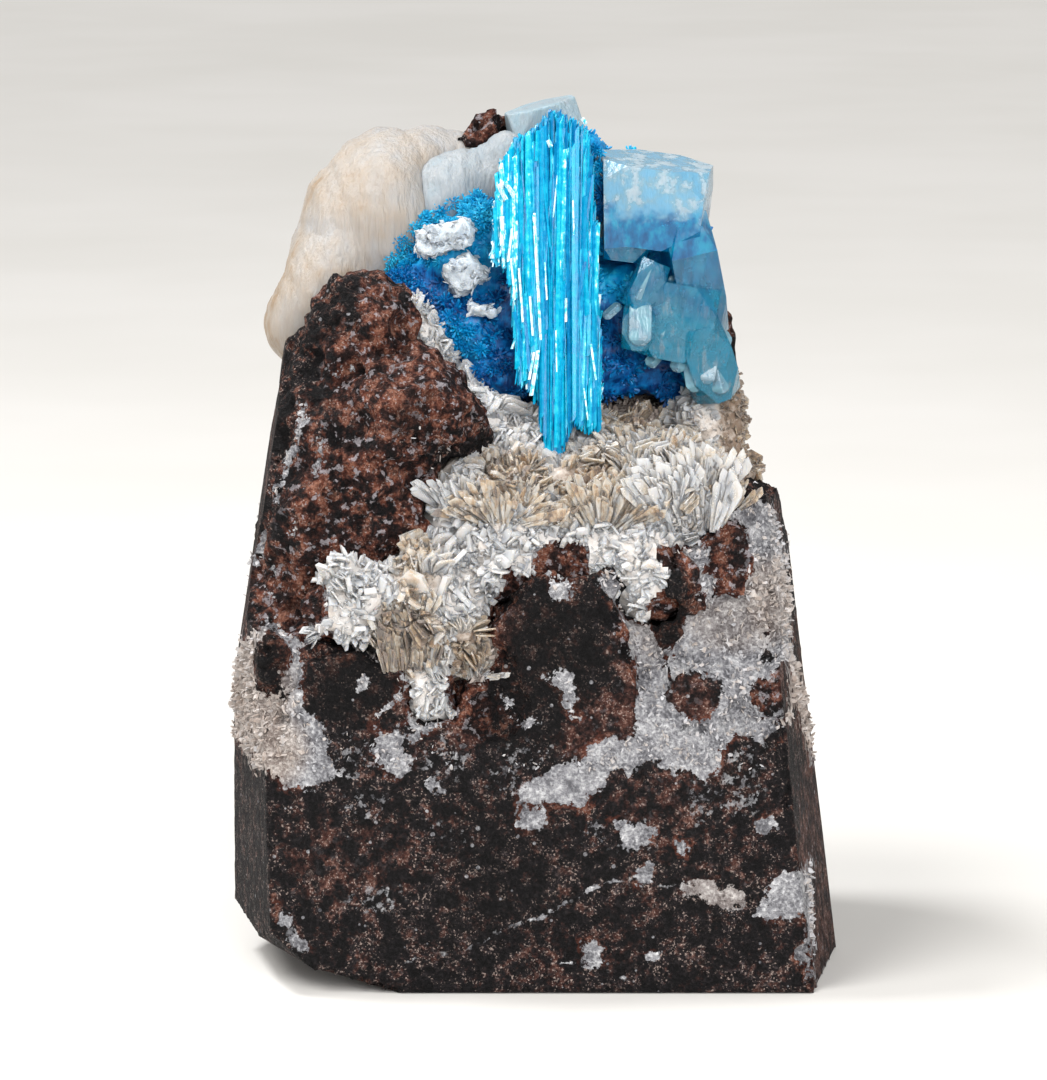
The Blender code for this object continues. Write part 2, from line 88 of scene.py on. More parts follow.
def seen_at(points):
    """Where points (an array in metres) are seen in the photograph."""
    away = points - np.array(EYE)
    depth = away @ np.array(-towards_camera)
    u = PICTURE[0] / 2 + PIXELS_PER_SLOPE * away[:, 0] / depth
    v = PICTURE[1] / 2 - PIXELS_PER_SLOPE * (away @ np.array(EYE_UP)) / depth
    return np.stack([u, v], axis=1)


def at_depth(u, v, y):
    """The point seen at a place of the photograph, y metres along the depth axis."""
    line = sight(u, v)
    return EYE + line * ((y - EYE.y) / line.y)


FRONT_DEPTH = -8 * MM
PIXEL = (at_depth(101, 500, FRONT_DEPTH) - at_depth(100, 500, FRONT_DEPTH)).length
print(f"one pixel on the front is {PIXEL / MM:.4f} mm")

# %% [markdown]
# ## Helpers for meshes
# A real crystal face is flat and a broken rock face is rough at every size. Both start from the solids:
# a copy is merged, its long triangles are replaced by an even skin with the Remesh modifier, and only then
# are the points moved. Repeated crystals are one small mesh, stamped many times with its own place.

# %% Skins and noise


def unit(value):
    """The value held between 0 and 1."""
    return min(1.0, max(0.0, value))


def vertices_of(bm):
    return np.array([v.co for v in bm.verts])


def copy_of(name):
    """A merged copy of a solid, as a bmesh."""
    bm = bmesh.new()
    bm.from_mesh(nodes[name].data)
    bmesh.ops.remove_doubles(bm, verts=bm.verts, dist=0.002 * MM)
    return bm


def reskin(bm, voxel):
    """Replaces a closed mesh by an even skin of small quads."""
    mesh = bpy.data.meshes.new("skin")
    bm.to_mesh(mesh)
    bm.free()
    obj = bpy.data.objects.new("skin", mesh)
    bpy.context.scene.collection.objects.link(obj)
    skin = obj.modifiers.new("skin", "REMESH")
    skin.mode = "VOXEL"
    skin.voxel_size = voxel * MM
    bpy.context.view_layer.update()
    made = bpy.data.meshes.new_from_object(obj.evaluated_get(bpy.context.evaluated_depsgraph_get()))
    bpy.data.objects.remove(obj)
    fresh = bmesh.new()
    fresh.from_mesh(made)
    bpy.data.meshes.remove(made)
    fresh.normal_update()
    for face in fresh.faces:
        face.smooth = True
    return fresh


def even_out(bm, rounds, verts=None):
    """Smooths all the points, or the given ones."""
    for _ in range(rounds):
        bmesh.ops.smooth_vert(bm, verts=verts or bm.verts, factor=0.5,
                              use_axis_x=True, use_axis_y=True, use_axis_z=True)
    bm.normal_update()


def swell(bm, rule):
    """Moves each point along its normal by rule(place) millimetres."""
    steps = [(v, v.normal * (rule(v.co) * MM)) for v in bm.verts]
    for v, step in steps:
        v.co += step
    bm.normal_update()


def ripple(co, size, seed=0.0, octaves=3):
    """Smooth noise of about -1 to 1 with lumps of the given size in millimetres."""
    return noise.fractal(co / (size * MM) + Vector((seed, 0, 0)), 0.9, 2.0, octaves)

# %% Surfaces to look at, and small meshes to stamp


def tree_of(bm):
    return BVHTree.FromBMesh(bm)


def tree_of_piece(piece):
    mesh = piece.data
    return BVHTree.FromPolygons([v.co for v in mesh.vertices], [p.vertices for p in mesh.polygons])


def seen_on(trees, u, v, depth):
    """The nearest place seen at (u, v) on the surfaces, or the point at a depth in mm where none is."""
    line = sight(u, v).normalized()
    hits = [hit for hit in (tree.ray_cast(EYE, line)[0] for tree in trees) if hit]
    return min(hits, key=lambda hit: (hit - EYE).length, default=at_depth(u, v, depth * MM))


def as_template(bm, name):
    """Keeps a small bmesh as a mesh that can be stamped."""
    mesh = bpy.data.meshes.new(name)
    bmesh.ops.recalc_face_normals(bm, faces=bm.faces)
    bm.to_mesh(mesh)
    bm.free()
    return mesh


def stamp(target, template, matrix):
    """Adds one moved copy of a small mesh to a bmesh."""
    copy = template.copy()
    copy.transform(matrix)
    target.from_mesh(copy)
    bpy.data.meshes.remove(copy)


def standing(spot, axis, spin, size):
    """A place for a template: its +Z along axis, turned by spin, scaled by size (three numbers)."""
    turn = axis.to_track_quat("Z", "Y").to_matrix() @ Matrix.Rotation(spin, 3, "Z")
    return Matrix.Translation(spot) @ turn.to_4x4() @ Matrix.Diagonal((*size, 1.0))

# %% Places spread over a mesh


def spots_on(bm, count, seed, covers=(), room=0.9):
    """Seeded places on a mesh, spread by area and not under a cover, as (place, normal)."""
    draw = random.Random(seed)
    faces = [f for f in bm.faces if is_open(f, covers, room)]
    weights = [f.calc_area() for f in faces]
    found = []
    for face in draw.choices(faces, weights=weights, k=count):
        corners = [v.co for v in face.verts]
        shares = [draw.random() for _ in corners]
        total = sum(shares)
        place = sum((c * s for c, s in zip(corners, shares)), Vector()) / total
        found.append((place, face.normal.copy()))
    return found


def is_open(face, covers, room):
    """True if nothing lies within room millimetres above the face."""
    start = face.calc_center_median() + face.normal * 0.1 * MM
    return not any(tree.ray_cast(start, face.normal, room * MM)[0] for tree in covers)


def leaned(normal, lean, draw):
    """A direction near the normal, up to lean radians off it."""
    side = normal.orthogonal().normalized()
    side.rotate(Matrix.Rotation(draw.uniform(0, math.tau), 3, normal))
    return (normal + side * math.tan(draw.uniform(0, lean))).normalized()

# %% Finishing a piece


def finish_piece(name, bm, materials, replaced, tints=None, values=None):
    """Makes the piece's object from a bmesh, with its per-point values, and fits it to the frame."""
    mesh = bpy.data.meshes.new(name)
    bm.to_mesh(mesh)
    bm.free()
    for key, numbers in {**(values or {}), **({"tint": tints} if tints is not None else {})}.items():
        layer = mesh.attributes.new(key, "FLOAT", "POINT")
        layer.data.foreach_set("value", np.asarray(numbers, np.float32))
    obj = bpy.data.objects.new(name, mesh)
    bpy.context.scene.collection.objects.link(obj)
    for material in materials:
        mesh.materials.append(material)
    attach(obj, "root")
    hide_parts(*replaced)
    mesh.calc_loop_triangles()
    print(f"{name}: {len(mesh.loop_triangles)} triangles")
    return obj

# %% [markdown]
# ## Helpers for materials
# All the patterns here are solid ones: they read Object coordinates, so they run through the stone and
# need no unwrapping. Two patterns are used again and again, so each is a node group with a size in
# millimetres: a cloudy field, and scattered round specks, which are also the small pits of the basalt.

# %% Colours and nodes


def paint(code):
    """A colour written as on a screen, in the linear numbers that a shader takes."""
    parts = [int(code[i:i + 2], 16) / 255 for i in (1, 3, 5)]
    return tuple(c / 12.92 if c <= 0.04045 else ((c + 0.055) / 1.055) ** 2.4 for c in parts) + (1.0,)


def put(tree, kind, inputs=None, **settings):
    """Adds a node, sets it up, and links or sets its inputs."""
    node = tree.nodes.new(kind)
    for key, value in settings.items():
        setattr(node, key, value)
    for key, value in (inputs or {}).items():
        if isinstance(value, bpy.types.NodeSocket):
            tree.links.new(value, node.inputs[key])
        else:
            node.inputs[key].default_value = value
    return node


def maths(tree, operation, *values, clamp=False):
    return put(tree, "ShaderNodeMath", dict(enumerate(values)), operation=operation,
               use_clamp=clamp).outputs[0]

# %% Sums and masks


def times(tree, first, second):
    return maths(tree, "MULTIPLY", first, second)


def times_plus(tree, value, factor, added, clamp=False):
    return maths(tree, "MULTIPLY_ADD", value, factor, added, clamp=clamp)


def larger(tree, first, second):
    return maths(tree, "MAXIMUM", first, second)


def centred(tree, value, middle=0.5):
    """A value that runs from 0 to 1, made to swing about zero."""
    return maths(tree, "SUBTRACT", value, middle)


def graded(tree, value, low, high):
    """Turns low..high into 0..1 with soft ends."""
    return put(tree, "ShaderNodeMapRange", {"Value": value, "From Min": low, "From Max": high},
               interpolation_type="SMOOTHSTEP").outputs["Result"]


def blended(tree, share, first, second):
    """One colour going over into another."""
    mix = put(tree, "ShaderNodeMix", data_type="RGBA")
    for socket, value in zip((mix.inputs[0], mix.inputs[6], mix.inputs[7]), (share, first, second)):
        if isinstance(value, bpy.types.NodeSocket):
            tree.links.new(value, socket)
        else:
            socket.default_value = value
    return mix.outputs[2]


def ramp(tree, value, stops):
    """Colours at places from 0 to 1."""
    node = put(tree, "ShaderNodeValToRGB", {"Fac": value})
    band = node.color_ramp
    while len(band.elements) < len(stops):
        band.elements.new(0.5)
    for element, (place, code) in zip(band.elements, stops):
        element.position = place
        element.color = paint(code)
    return node.outputs["Color"]


def point_value(tree, key):
    """A number that the mesh keeps on each of its points."""
    return put(tree, "ShaderNodeAttribute", attribute_name=key).outputs["Fac"]

# %% Groups and materials


def new_group(name, inputs, outputs):
    """An empty node group with named numbers going in and coming out."""
    group = bpy.data.node_groups.new(name, "ShaderNodeTree")
    for key, value in inputs.items():
        group.interface.new_socket(key, in_out="INPUT", socket_type="NodeSocketFloat").default_value = value
    for key in outputs:
        group.interface.new_socket(key, in_out="OUTPUT", socket_type="NodeSocketFloat")
    return group, group.nodes.new("NodeGroupInput"), group.nodes.new("NodeGroupOutput")


def use_group(tree, group, **inputs):
    """Places a node group in a material, with its own values, and returns its outputs."""
    node = tree.nodes.new("ShaderNodeGroup")
    node.node_tree = group
    for key, value in inputs.items():
        socket = node.inputs[key.replace("_", " ")]
        if isinstance(value, bpy.types.NodeSocket):
            tree.links.new(value, socket)
        else:
            socket.default_value = value
    return node.outputs


def bumped(tree, shader, height, strength):
    """Raises the surface by a height in millimetres."""
    bump = put(tree, "ShaderNodeBump", {"Strength": strength, "Distance": MM, "Height": height})
    tree.links.new(bump.outputs["Normal"], shader.inputs["Normal"])


def set_inputs(shader, **inputs):
    """Sets sockets of the shader that are the same all over, named with _ for each space."""
    for key, value in inputs.items():
        shader.inputs[key.replace("_", " ")].default_value = value


def new_material(name):
    """A material with a Principled shader, its node tree and that shader."""
    material = bpy.data.materials.new(name)
    material.use_nodes = True
    shader = material.node_tree.nodes["Principled BSDF"]
    return material, material.node_tree, shader

# %% Cloudy field and specks


def make_cloud_group():
    """Soft noise from 0 to 1, with its middle tones spread out."""
    group, given, result = new_group("cloud_field", {"Size": 1.0, "Stretch": 1.0}, ["Value"])
    place = put(group, "ShaderNodeTexCoord").outputs["Object"]
    stretch = put(group, "ShaderNodeCombineXYZ", {"X": 1.0, "Y": 1.0, "Z": given.outputs["Stretch"]})
    bent = put(group, "ShaderNodeVectorMath", {0: place, 1: stretch.outputs[0]}, operation="MULTIPLY")
    scale = maths(group, "DIVIDE", 1 / MM, given.outputs["Size"])
    field = put(group, "ShaderNodeTexNoise", {"Vector": bent.outputs[0], "Scale": scale, "Detail": 3.0,
                                              "Roughness": 0.6})
    group.links.new(graded(group, field.outputs["Fac"], 0.28, 0.72), result.inputs["Value"])
    return group


def make_speck_group():
    """Round specks of different sizes, one in each chosen cell of a Voronoi pattern."""
    group, given, result = new_group("specks", {"Size": 0.3, "Amount": 0.1}, ["Mask"])
    place = put(group, "ShaderNodeTexCoord").outputs["Object"]
    scale = maths(group, "DIVIDE", 1 / MM, given.outputs["Size"])
    cells = put(group, "ShaderNodeTexVoronoi", {"Vector": place, "Scale": scale})
    lot = put(group, "ShaderNodeSeparateColor", {0: cells.outputs["Color"]})
    chosen = maths(group, "LESS_THAN", lot.outputs[0], given.outputs["Amount"])
    radius = times_plus(group, lot.outputs[1], 0.25, 0.2)
    near = graded(group, maths(group, "SUBTRACT", radius, cells.outputs["Distance"]), 0.0, 0.08)
    group.links.new(times(group, chosen, near), result.inputs["Mask"])
    return group


cloud_field = make_cloud_group()
specks = make_speck_group()
print("node groups:", cloud_field.name, specks.name)


def cloudy(tree, size, stretch=1.0):
    """The cloudy field with lumps of the given size in millimetres. A low stretch draws them out along Z."""
    return use_group(tree, cloud_field, Size=size, Stretch=stretch)["Value"]


def dotted(tree, size, amount):
    """Specks on cells of the given size in millimetres, in the given share of the cells."""
    return use_group(tree, specks, Size=size, Amount=amount)["Mask"]

# %% [markdown]
# ## The basalt breccia
# The rock is dark red-brown basalt, broken into rounded fragments and glued together again by a pale,
# sugary zeolite cement. The lower front, the base and the facets at the sides are sawn and dull; above
# them it is rough, with small gas bubbles. The outlines of the pale and dark areas are traced as they are
# seen, and each point of the mesh keeps its distance from those outlines. A distance runs evenly across a
# face, so the material can draw a sharp, frayed edge between two points of the mesh.

# %% Outlines of the cement and of the fragments, as seen
PALE_AREAS = [
    [(596, 548), (640, 540), (700, 536), (752, 500), (768, 503), (779, 525), (787, 560), (791, 620),
     (793, 700), (790, 722), (775, 726), (760, 742), (752, 738), (733, 735), (722, 750), (718, 778),
     (700, 781), (690, 767), (673, 771), (660, 760), (645, 765), (630, 779), (616, 770), (608, 781),
     (590, 795), (583, 810), (560, 804), (518, 800), (530, 782), (548, 766), (576, 762), (600, 737),
     (638, 737), (638, 660), (620, 610), (600, 580)],
    [(395, 560), (480, 560), (492, 600), (484, 618), (497, 655), (484, 684), (462, 684), (452, 664),
     (440, 668), (447, 700), (447, 715), (435, 735), (415, 735), (405, 725), (413, 700), (413, 690),
     (403, 670), (380, 660), (340, 640), (330, 600)],
    [(372, 735), (385, 725), (400, 732), (415, 740), (412, 757), (405, 775), (385, 775), (370, 750)],
    [(240, 645), (252, 632), (262, 618), (278, 616), (287, 635), (300, 640), (310, 637), (330, 615),
     (340, 600), (395, 600), (395, 670), (340, 640), (325, 634), (308, 642), (303, 650), (298, 680),
     (303, 695), (308, 712), (318, 722), (330, 740), (328, 752), (335, 765), (345, 775), (320, 785),
     (312, 790), (290, 788), (275, 778), (255, 765), (240, 742), (226, 725), (220, 690), (232, 660)],
    [(771, 877), (806, 869), (812, 860), (810, 918), (770, 920), (755, 917), (765, 905)],
    [(685, 885), (715, 877), (718, 888), (728, 886), (746, 893), (744, 903), (722, 918), (715, 905),
     (700, 897), (686, 896)],
    [(640, 868), (650, 864), (655, 880), (645, 888), (638, 880)],
    [(580, 940), (598, 942), (606, 970), (590, 972), (584, 955)],
    [(648, 955), (657, 951), (665, 957), (655, 961)],
    [(755, 826), (772, 817), (778, 825), (765, 834)],
    [(517, 812), (530, 805), (548, 812), (545, 822), (530, 834), (518, 826)],
    [(608, 822), (622, 818), (640, 825), (658, 828), (652, 842), (630, 850), (620, 838)],
    [(674, 842), (684, 840), (688, 848), (680, 856)],
    [(425, 778), (436, 776), (445, 790), (443, 798), (432, 790)],
    [(276, 898), (290, 915), (298, 935), (309, 948), (300, 953), (285, 940)],
    [(806, 858), (812, 858), (814, 975), (806, 978)],
    [(798, 950), (808, 948), (808, 962), (800, 962)],
    [(791, 650), (797, 665), (806, 700), (815, 745), (817, 770), (808, 750), (798, 715), (792, 690)],
    [(306, 396), (304, 420), (300, 435), (297, 449), (293, 445), (297, 425), (299, 405)],
    [(348, 367), (340, 375), (333, 392), (335, 381), (341, 370)],
    [(320, 440), (322, 462), (313, 474), (316, 455)],
    [(292, 445), (285, 475), (278, 500), (275, 495), (283, 460)],
    [(298, 522), (293, 538), (290, 536), (294, 522)],
    [(269, 533), (262, 555), (255, 572), (260, 545)],
    [(276, 570), (270, 592), (266, 590), (272, 572)],
    [(397, 690), (405, 691), (403, 699), (396, 698)],
    [(374, 713), (390, 702), (386, 712), (376, 720)],
    [(356, 678), (366, 673), (370, 684), (358, 690)],
    [(505, 700), (512, 712), (525, 721), (535, 722), (520, 727), (508, 718)],
    [(546, 678), (556, 673), (570, 675), (575, 690), (578, 718), (570, 720), (562, 692), (548, 685)],
    [(548, 577), (560, 574), (574, 586), (568, 600), (552, 598)],
    [(585, 548), (594, 546), (598, 560), (588, 562)],
    [(600, 400), (640, 388), (690, 386), (720, 400), (716, 440), (690, 460), (640, 455), (604, 440)],
]
DARK_AREAS = [
    [(484, 618), (492, 600), (503, 588), (499, 573), (512, 567), (522, 574), (537, 575), (534, 552),
     (550, 542), (575, 539), (588, 546), (590, 572), (598, 590), (612, 606), (625, 628), (635, 655),
     (637, 690), (638, 737), (600, 738), (576, 762), (540, 770), (500, 770), (480, 740), (445, 700),
     (440, 668), (452, 664), (462, 684), (484, 684), (497, 660), (490, 640)],
    [(303, 650), (308, 642), (325, 634), (338, 634), (350, 648), (380, 662), (402, 672), (413, 690),
     (411, 705), (405, 722), (395, 735), (375, 728), (350, 735), (325, 730), (318, 722), (308, 712),
     (303, 695), (298, 680), (302, 665)],
    [(262, 630), (275, 622), (283, 635), (290, 645), (290, 660), (288, 680), (283, 695), (262, 694),
     (258, 680), (252, 672), (255, 655), (260, 640)],
    [(648, 598), (660, 590), (664, 578), (672, 570), (662, 568), (656, 560), (658, 548), (675, 546),
     (690, 556), (698, 565), (702, 590), (700, 608), (690, 618), (680, 640), (668, 653), (655, 648),
     (648, 630), (645, 610)],
    [(700, 560), (710, 555), (697, 540), (705, 528), (700, 520), (692, 510), (690, 492), (697, 490),
     (702, 500), (712, 510), (716, 520), (740, 517), (748, 528), (752, 555), (757, 570), (750, 580),
     (742, 598), (735, 603), (725, 595), (716, 600), (720, 580), (710, 572)],
    [(668, 682), (680, 674), (700, 674), (717, 682), (720, 700), (714, 715), (700, 724), (685, 715),
     (672, 705), (664, 694)],
    [(664, 662), (671, 660), (674, 682), (668, 684)],
    [(760, 655), (770, 648), (776, 655), (765, 663)],
    [(766, 632), (770, 628), (772, 642), (767, 643)],
    [(750, 690), (765, 682), (775, 670), (782, 660), (789, 662), (791, 700), (788, 713), (770, 718),
     (755, 712)],
    [(400, 738), (415, 737), (425, 748), (415, 760), (403, 755)],
    [(255, 570), (290, 566), (306, 562), (316, 576), (331, 590), (326, 602), (327, 620), (310, 628),
     (296, 634), (284, 618), (262, 612)],
]
LARGE_AREAS = 11  # so many outlines come first in PALE_AREAS, from which the dark ones are cut out
VEINS = [
    [(405, 962), (429, 955), (462, 953), (503, 929), (540, 918), (557, 908), (594, 887), (610, 881),
     (641, 877)],
    [(640, 884), (660, 887), (690, 884)],
    [(398, 884), (405, 900)],
    [(560, 962), (600, 968), (640, 985)],
]
# Fine pale grains strewn over the dark rock, as (centre, half sizes, share of the area).
SPRINKLES = [
    ((447, 757), (28, 22), 0.55), ((530, 775), (42, 32), 0.45), ((365, 805), (24, 14), 0.5),
    ((740, 778), (24, 38), 0.6), ((348, 755), (28, 24), 0.5), ((635, 836), (32, 18), 0.4),
    ((372, 900), (26, 14), 0.4), ((700, 802), (14, 24), 0.5), ((595, 836), (16, 16), 0.3),
    ((425, 720), (26, 22), 0.5), ((440, 835), (30, 18), 0.2), ((762, 700), (26, 60), 0.25),
    ((765, 560), (24, 50), 0.5), ((430, 445), (18, 22), 0.3), ((280, 745), (40, 40), 0.4),
]
# Where the rock is redder and rustier, as (centre, half sizes, share).
RED_AREAS = [
    ((420, 370), (90, 70), 1.0), ((360, 500), (80, 90), 0.6), ((380, 310), (24, 34), 0.8),
    ((290, 590), (50, 50), 0.7), ((562, 556), (34, 18), 1.0), ((510, 575), (18, 10), 1.0),
    ((728, 560), (36, 46), 0.8), ((692, 698), (30, 26), 0.7), ((615, 720), (36, 30), 0.7),
    ((590, 745), (34, 20), 0.8), ((410, 690), (16, 30), 0.6), ((465, 715), (30, 40), 0.5),
    ((670, 800), (60, 40), 0.35), ((350, 860), (60, 50), 0.3), ((770, 690), (26, 34), 0.7),
    ((624, 660), (16, 60), 0.6), ((678, 556), (22, 14), 0.9), ((500, 620), (16, 30), 0.6),
    ((497, 130), (30, 34), 1.3), ((728, 300), (20, 30), 1.3), ((820, 860), (20, 150), 0.9),
]
# Where the cement is warm and pinkish instead of grey, as (centre, half sizes, share).
WARM_AREAS = [
    ((250, 700), (40, 70), 0.9), ((265, 750), (40, 40), 0.9), ((470, 650), (34, 44), 1.0),
    ((770, 600), (26, 40), 0.7), ((730, 625), (40, 24), 0.4), ((720, 890), (40, 24), 0.6),
    ((805, 700), (20, 60), 1.0), ((650, 420), (60, 40), 1.0), ((380, 650), (40, 20), 0.5),
    ((650, 600), (20, 60), 0.3),
]
# Gas bubbles, darkened as painted shade in their hollows, and the blackest fragments, as (centre, half sizes,
# share).
BLACK_AREAS = [
    ((406, 422), (19, 17), 0.7), ((346, 318), (9, 13), 0.6), ((322, 400), (10, 16), 0.4),
    ((556, 650), (52, 66), 0.85), ((352, 688), (46, 38), 0.8), ((272, 660), (15, 30), 0.7),
    ((670, 612), (20, 36), 0.75), ((500, 860), (60, 90), 0.35), ((520, 720), (40, 40), 0.7),
    ((740, 780), (24, 24), 0.3), ((722, 540), (16, 24), 0.3), ((385, 370), (16, 10), 0.35),
]
print(len(PALE_AREAS), "pale outlines,", len(DARK_AREAS), "dark outlines")

# %% Distance of points from the outlines


def inside_by(spots, outline):
    """How far inside a closed outline each spot lies, in pixels. It is negative outside."""
    corners = np.array(outline, float)
    nearest = np.full(len(spots), 1e9)
    inside = np.zeros(len(spots), bool)
    for a, b in zip(corners, np.roll(corners, -1, axis=0)):
        nearest = np.minimum(nearest, distance_to(spots, a, b))
        crosses = (a[1] > spots[:, 1]) != (b[1] > spots[:, 1])
        level = (spots[:, 1] - a[1]) / (b[1] - a[1] + 1e-9)
        inside ^= crosses & (spots[:, 0] < a[0] + level * (b[0] - a[0]))
    return np.where(inside, nearest, -nearest)


def distance_to(spots, a, b):
    """The distance of spots from the straight line between two corners."""
    along = b - a
    share = np.clip(((spots - a) @ along) / (along @ along + 1e-9), 0, 1)
    return np.linalg.norm(spots - a - share[:, None] * along, axis=1)


def from_line(spots, line):
    """The distance of spots from a thin line of straight runs."""
    ends = np.array(line, float)
    return np.min([distance_to(spots, a, b) for a, b in zip(ends[:-1], ends[1:])], axis=0)


def in_ovals(spots, ovals):
    """How strongly each spot lies in any of the soft ovals."""
    strength = np.zeros(len(spots))
    for (u, v), (wide, high), share in ovals:
        away = ((spots[:, 0] - u) / wide) ** 2 + ((spots[:, 1] - v) / high) ** 2
        strength = np.maximum(strength, share * np.clip(1.5 - away, 0, 1))
    return strength


def cement_depth(spots):
    """How far inside the pale cement each spot lies, in millimetres."""
    pixel = PIXEL / MM
    large = np.max([inside_by(spots, o) for o in PALE_AREAS[:LARGE_AREAS]], axis=0)
    dark = np.max([inside_by(spots, o) for o in DARK_AREAS], axis=0)
    small = np.max([inside_by(spots, o) for o in PALE_AREAS[LARGE_AREAS:]], axis=0)
    return np.clip(np.maximum(np.minimum(large, -dark), small) * pixel, -1.5, 1.5)

# %% [markdown]
# The sawn faces are known planes, so a point that lies close to one is pressed flat onto it. All other
# points are broken rock: they get noise of two sizes and round gas bubbles, which a Voronoi pattern places.
# The cement between the fragments has weathered back a little on the rough front.

# %% Shape of the rock
# Each sawn face as (a point on it in millimetres, its outward direction), as the solid has them.
SAWN_FACES = [
    ((0.0, 0.0, 0.0), (0.0, 0.0, -1.0)),
    ((-6.3, 0.0, 0.0), (-0.29, 0.0, -0.957)),
    ((-11.4, -10.0, 2.2), (-0.62, -0.36, -0.70)),
    ((0.0, -10.0, 4.0), (0.0, -1.0, 0.03)),
    ((12.9, -10.0, 0.0), (0.98, -0.17, 0.12)),
    ((-12.2, -10.0, 5.0), (-0.97, -0.24, -0.02)),
    ((-14.4, -1.0, 12.5), (-0.98, -0.06, 0.16)),
    ((14.1, -1.0, 2.0), (0.90, 0.40, 0.115)),
    ((-14.1, -1.0, 2.0), (-0.92, 0.38, 0.06)),
]
ROCK_VOXEL = 0.225
SAWN_REACH = 0.2  # a point this near a sawn plane, in millimetres, belongs to it
BASE_GAP = 0.01  # no point comes nearer to the floor than this, in millimetres
CEMENT_WORN_BACK = 0.34  # in millimetres
# A point counts as seen once its normal turns to the lens by SEEN_FROM, and fully SEEN_FADE beyond that.
SEEN_FROM = 0.02
SEEN_FADE = 0.12
# Made-up cement on the faces that the photograph hides: the size of its patches in millimetres, and how
# strong their noise has to be.
HIDDEN_PATCHES = 5.5
HIDDEN_PALE_FROM = 0.42
# Gas bubbles of two sizes, as (spacing, share of the places that hold one, radius, depth).
BUBBLES = [(1.3, 0.42, 0.32, 0.36), (0.75, 0.50, 0.22, 0.26)]


def sawn_faces_of(bm):
    """For each point, the sawn plane that it lies on, or None."""
    planes = [(Vector(p) * MM, Vector(n).normalized()) for p, n in SAWN_FACES]
    found = []
    for v in bm.verts:
        on = [(abs((v.co - p).dot(n)), p, n) for p, n in planes if v.normal.dot(n) > 0.8]
        near = min(on, default=None, key=lambda entry: entry[0])
        found.append(near[1:] if near and near[0] < SAWN_REACH * MM else None)
    return found


def bubbles(co):
    """How deep the gas bubbles reach at a place, in millimetres."""
    deepest = 0.0
    for spacing, share, radius, depth in BUBBLES:
        distances, centres = noise.voronoi(co / (spacing * MM))
        lot = 0.5 + noise.noise(centres[0] * 7.3)
        away = distances[0] * spacing / radius
        if lot < share and away < 1:
            deepest = max(deepest, depth * (1 - away ** 2) ** 0.5)
    return deepest


def crag(co):
    """Broken rock: broad lumps, sharp ledges and grit, in millimetres."""
    ledge = noise.ridged_multi_fractal(co / (2.1 * MM), 0.9, 2.1, 3, 1.0, 2.0)
    return 0.20 * ripple(co, 1.9) + 0.26 * (ledge - 1.1) + 0.20 * ripple(co, 0.55, 9.0, 2)

# %% Build the rock


def build_rock():
    """The rock's skin and the values that each of its points keeps. What the photograph hides gets noise."""
    bm = reskin(copy_of("basalt_matrix"), ROCK_VOXEL)
    planes = sawn_faces_of(bm)
    even_out(bm, 3, [v for v, plane in zip(bm.verts, planes) if plane is None])
    places = vertices_of(bm)
    spots = seen_at(places)
    normals = np.array([v.normal for v in bm.verts])
    facing = np.clip((normals @ np.array(towards_camera) - SEEN_FROM) / SEEN_FADE, 0, 1)
    drift = np.array([ripple(v.co, HIDDEN_PATCHES, 40.0) for v in bm.verts])
    unseen = np.clip((drift - HIDDEN_PALE_FROM) * 3.0, -1.5, 1.5)
    cement = facing * cement_depth(spots) + (1 - facing) * unseen
    shift = np.zeros(len(places))
    sawn = np.zeros(len(places))
    hollow_shade_and_black = np.zeros(len(places))
    for i, (v, plane) in enumerate(zip(bm.verts, planes)):
        if plane:
            spot, outward = plane
            v.co -= outward * ((v.co - spot).dot(outward) + BASE_GAP * MM)
            sawn[i] = 1.0
            continue
        pale = unit((cement[i] + 0.05) / 0.2)
        rough = max(-0.5, min(0.4, crag(v.co)))
        holes = bubbles(v.co) * (1 - pale)
        # Painted shade: gas bubbles and the dips of the rough rock keep a value that darkens their colour.
        hollow_shade_and_black[i] = min(1.0, holes * 1.9 + max(0.0, -rough * 1.1))
        shift[i] = rough * (1 - 0.5 * pale) - holes - CEMENT_WORN_BACK * pale
    for v, amount in zip(bm.verts, shift):
        v.co += v.normal * (amount * MM)
        v.co.z = max(v.co.z, BASE_GAP * MM)
    bm.normal_update()
    # The traced black areas join that value: painted shade in the bubbles, and the own colour of the blackest
    # fragments.
    hollow_shade_and_black = np.maximum(hollow_shade_and_black, facing * in_ovals(spots, BLACK_AREAS))
    vein = np.min([from_line(spots, line) for line in VEINS], axis=0) * PIXEL / MM
    vein = np.where(facing > 0.5, np.clip(vein, 0, 1), 1.0)
    red = facing * in_ovals(spots, RED_AREAS) + (1 - facing) * np.clip(drift * -1.2, 0, 0.8)
    values = {
        "cement": cement, "sawn": sawn, "vein": vein, "red": red, "hollow_shade_and_black": hollow_shade_and_black,
        "sprinkle": facing * in_ovals(spots, SPRINKLES) + (1 - facing) * 0.08,
        "warm": facing * in_ovals(spots, WARM_AREAS) + (1 - facing) * 0.5,
    }
    return bm, values


rock_bm, rock_values = build_rock()
print("rock points:", len(rock_bm.verts), "pale share:", round(float((rock_values["cement"] > 0).mean()), 3))
